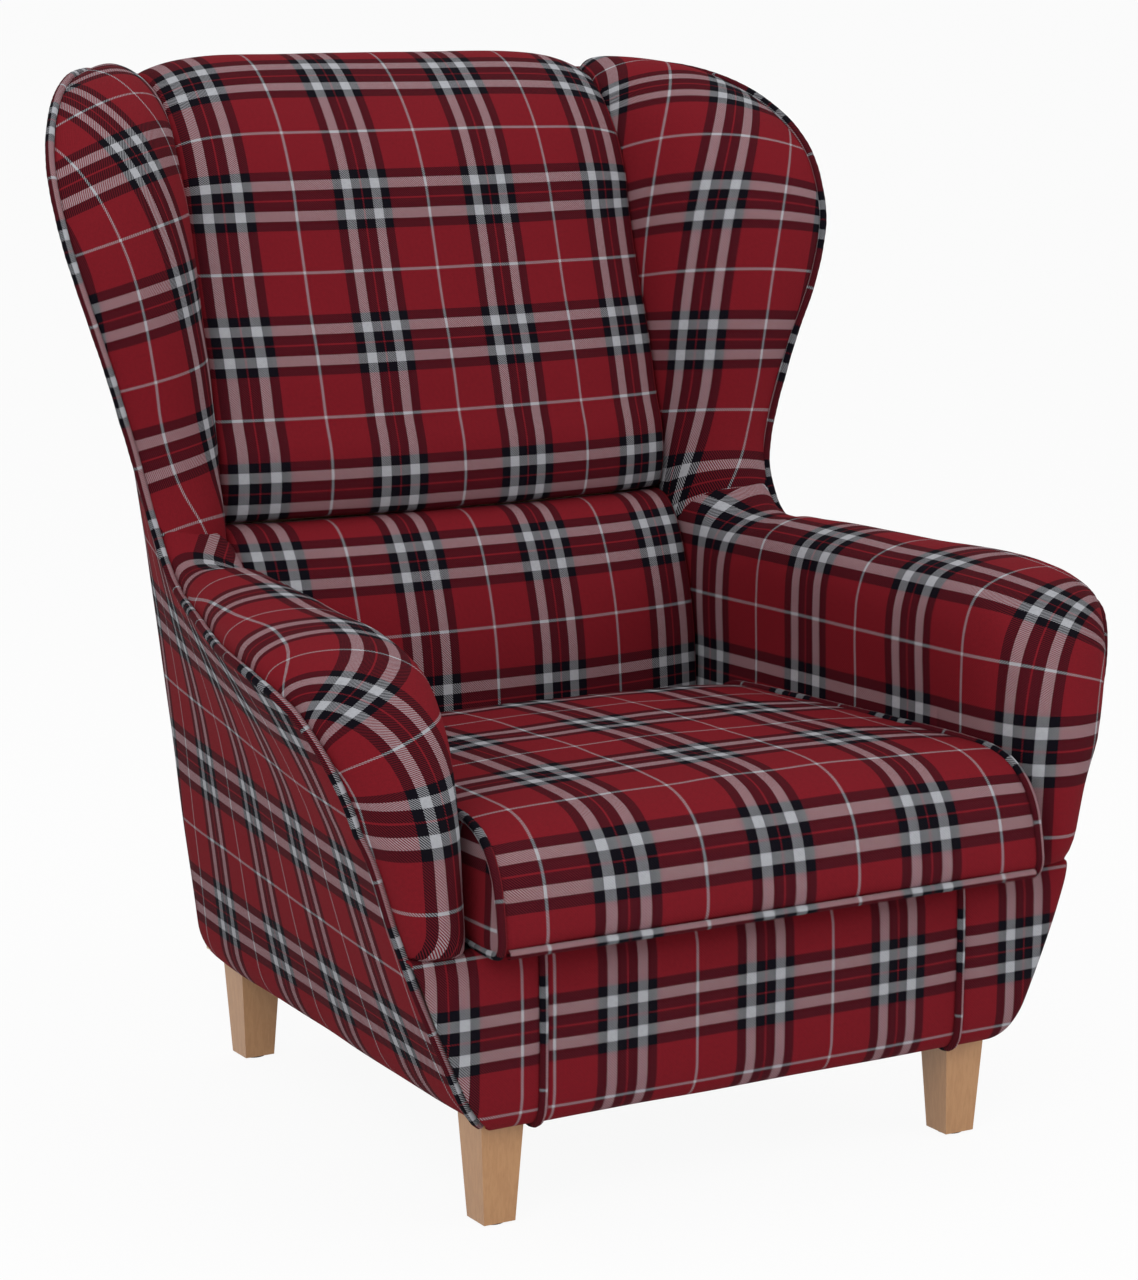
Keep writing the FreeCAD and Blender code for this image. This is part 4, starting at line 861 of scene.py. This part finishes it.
def makeCushion():
    around, across = 190, 84
    loop = smoothPath(cushionLoop, around, closed=True)
    ahead = np.roll(loop[:, :2], -1, axis=0) - np.roll(loop[:, :2], 1, axis=0)
    normal = np.stack([ahead[:, 1], -ahead[:, 0]], 1)
    normal /= np.linalg.norm(normal, axis=1)[:, None]
    middle = loop[:, :2].mean(axis=0)
    if np.sum(normal * (loop[:, :2] - middle)) < 0:
        normal = -normal
    centre = loop[:, :2] + normal * loop[:, 2:3]
    run = lengthAlong(np.vstack([centre, centre[:1]]))
    onTop = [i for i in range(around) if centre[i, 1] > 380 and centre[i, 0] < 460]
    order = sorted(onTop, key=lambda i: centre[i, 0])
    zero = np.interp(cushionSet["lineDepth"], [centre[i, 0] for i in order], [run[i] for i in order])
    columns, uv = [], []
    for share in np.linspace(-1, 1, across):
        swell = (1 - abs(share) ** 2.6) ** 0.75
        depth = loop[:, 0] + normal[:, 0] * loop[:, 2] * swell
        height = loop[:, 1] + normal[:, 1] * loop[:, 2] * swell
        x = np.array([share * cushionHalf(d) for d in depth])
        columns.append(np.stack([x, depth, height], 1))
        closedX = np.append(x, x[0])
        uv.append(np.stack([0.5 + closedX / cushionSet["period"],
                            0.5 + (run - zero) / cushionSet["period"]], 1))
    grids = [(np.array(columns), np.array(uv), True)]
    hub = np.array(cushionSet["hub"])
    for sign in (-1, 1):
        rings, marks = [], []
        for reach in np.concatenate([np.linspace(1, 0.9, 5), np.linspace(0.84, 0.0, 14)]):
            swell = cushionSet["sideSwell"] * (1 - reach ** 6)
            line = []
            for depth, z, _ in loop:
                d, h = hub + (np.array((depth, z)) - hub) * reach
                line.append((sign * (cushionHalf(d) + swell), d, h))
            rings.append(line)
            ring = [((d - 40) / cushionSet["period"], (h - 300) / cushionSet["period"])
                    for _, d, h in line]
            marks.append(ring + ring[:1])
        grids.append((np.array(rings), np.array(marks), True))
    piece = newPiece("seat_cushion", grids, tartanCloth, weld=0.0001)
    ruffle(piece, 1.5, 75, 31)
    declare(piece, "cushion",
            ["cushion_core", "cushion_cover", "cushion_side_left", "cushion_side_right"])
    cords = []
    for sign in (-1, 1):
        path = [(sign * (cushionHalf(d) + 0.5), d, z)
                for d, z, _ in smoothPath(cushionLoop, 300, True)]
        path.append(path[0])
        cords.append(cordGrid(path, cushionSet["radius"], cushionSet["period"], 0.3, (sign, 0, 0.001)))
    span = cushionHalf(-38) - 6
    path = [(x, -38.5 - 1.5 * (1 - (x / span) ** 2), 279.5) for x in np.linspace(-span, span, 160)]
    cords.append(cordGrid(path, cushionSet["radius"], cushionSet["period"],
                          0.5 - span / cushionSet["period"], (0, -1, 0)))
    cord = newPiece("cushion_cords", cords, pipingCloth)
    declare(cord, "cushion", ["cushion_piping"])


makeCushion()
print("cushion made")


def softPlate(name, nodes, material, laid=None):
    # a layer in the place of its CAD nodes, a little smaller, its corners following their plan
    shrink, rounds = 1, 6
    spots = []
    for node in nodes:
        spots += [tuple(vertex.co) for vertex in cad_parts[node].data.vertices]
    spots = np.array(spots)
    low, high = spots.min(axis=0), spots.max(axis=0)
    front = np.abs(spots[spots[:, 1] < low[1] + 0.004, 0]).max() * 1000 - shrink
    rear = np.abs(spots[spots[:, 1] > high[1] - 0.004, 0]).max() * 1000 - shrink
    depths = (low[1] * 1000 - borderY + shrink, high[1] * 1000 - borderY - shrink)
    base, crest = low[2] * 1000, high[2] * 1000
    middle = (base + crest) / 2
    grids = []
    count = 40
    for upper in (True, False):
        rows, uv = [], []
        for t in np.linspace(0, 1, count):
            depth = depths[0] + t * (depths[1] - depths[0])
            half = front + t * (rear - front)
            line, marks = [], []
            for share in np.linspace(-1, 1, count):
                edge = (1 - abs(share) ** rounds) * (1 - abs(2 * t - 1) ** rounds)
                z = middle + (crest - middle if upper else base - middle) * edge
                line.append((share * half, depth, z))
                marks.append((share * half / repeat, depth / repeat))
            rows.append(line)
            uv.append(marks)
        grids.append((np.array(rows), np.array(uv), False))
    piece = newPiece(name, grids, material, weld=0.00002)
    declare(piece, "chair", nodes)
    if laid:
        span = (depths[1] - depths[0]) / 1000
        (front + rear) / 1000 * span


softPlate("seat_deck", ["deck_cloth", "deck_pad"], deckCloth)
softPlate("deck_felt_layer", ["deck_felt"], feltCloth, laid=("laid", ["seat_springs"]))
softPlate("underside_cloth", ["dust_cover"], dustCloth,
          laid=("stretched", ["front_rail", "rear_rail", "side_rail_left", "side_rail_right"]))


def makeStraps():
    # each strap runs between two heights of the CAD webbing
    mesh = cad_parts["back_webbing"].data
    spots = np.array([tuple(vertex.co) for vertex in mesh.vertices]) * 1000
    spots[:, 1] -= borderY
    levels = sorted(set(np.round(spots[:, 2]).astype(int)))
    pairs = [(levels[i], levels[i + 1]) for i in range(0, len(levels) - 1, 2)]
    grids = []
    for lowZ, highZ in pairs:
        rows, uv = [], []
        for z in np.linspace(lowZ, highZ, 7):
            near = spots[np.abs(spots[:, 2] - (lowZ if z - lowZ < highZ - z else highZ)) < 1]
            half = np.abs(near[:, 0]).max() - 0.5
            share = (z - lowZ) / (highZ - lowZ)
            frontLow, frontHigh = [spots[np.abs(spots[:, 2] - level) < 1][:, 1].min()
                                   for level in (lowZ, highZ)]
            depth = frontLow + share * (frontHigh - frontLow) + 0.4
            line, marks = [], []
            for t in np.linspace(-1, 1, 40):
                line.append((t * half, depth, z + 0.4 * math.sin(9 * t)))
                marks.append((t * half / repeat, z / repeat))
            rows.append(line)
            uv.append(marks)
        grids.append((np.array(rows), np.array(uv), False))
    piece = newPiece("back_straps", grids, strapCloth, inside=(0, 700, 600))
    thicken(piece, 1.2)
    declare(piece, "chair", ["back_webbing"])


makeStraps()
print("hidden layers made")


def makeFloor():
    finish = Finish("pale_floor")
    rays = finish.node("LightPath")
    seen = rays.out("Is Camera Ray") + rays.out("Is Glossy Ray") + rays.out("Is Transmission Ray")
    ground = finish.node("BsdfDiffuse", None, {"Color": (0.86, 0.86, 0.86, 1)})
    glow = finish.node("Emission", None, {"Color": (1, 1, 1, 1), "Strength": 1.0})
    mixed = finish.node("MixShader", None, {0: seen * 0.93, 1: ground, 2: glow})
    finish.node("OutputMaterial", None, {"Surface": mixed})
    mesh = bpy.data.meshes.new("floor")
    size = 300  # metres, so that its edge isn't seen
    mesh.from_pydata([(-size, -size, 0), (size, -size, 0), (size, size, 0), (-size, size, 0)], [],
                     [(0, 1, 2, 3)])
    mesh.materials.append(finish.owner)
    floor = bpy.data.objects.new("floor", mesh)
    bpy.context.scene.collection.objects.link(floor)


lamps = {
    "key": {"place": (-2.7, -2.7, 2.7), "size": 2.6, "power": 68},
    "fill": {"place": (2.6, -2.6, 1.9), "size": 2.6, "power": 26},
    "top": {"place": (0.2, 0.4, 3.4), "size": 2.8, "power": 26},
}


def makeLight():
    for name, lamp in lamps.items():
        data = bpy.data.lights.new(name, "AREA")
        data.shape = "SQUARE"
        data.size = lamp["size"]
        data.energy = lamp["power"]
        light = bpy.data.objects.new(name, data)
        light.location = lamp["place"]
        aim = Vector((0, 0, 0.5)) - light.location
        light.rotation_euler = aim.to_track_quat("-Z", "Y").to_euler()
        bpy.context.scene.collection.objects.link(light)
    studio = Finish("studio", bpy.data.worlds)
    rays = studio.node("LightPath").out("Is Camera Ray")
    room = studio.node("Background", None, {"Color": (1, 1, 1, 1), "Strength": 0.55})
    white = studio.node("Background", None, {"Color": (1, 1, 1, 1)})
    both = studio.node("MixShader", None, {0: rays, 1: room, 2: white})
    studio.node("OutputWorld", None, {"Surface": both})
    bpy.context.scene.world = studio.owner


makeFloor()
makeLight()
bpy.context.scene.view_settings.view_transform = "Standard"
print("floor and light ready")
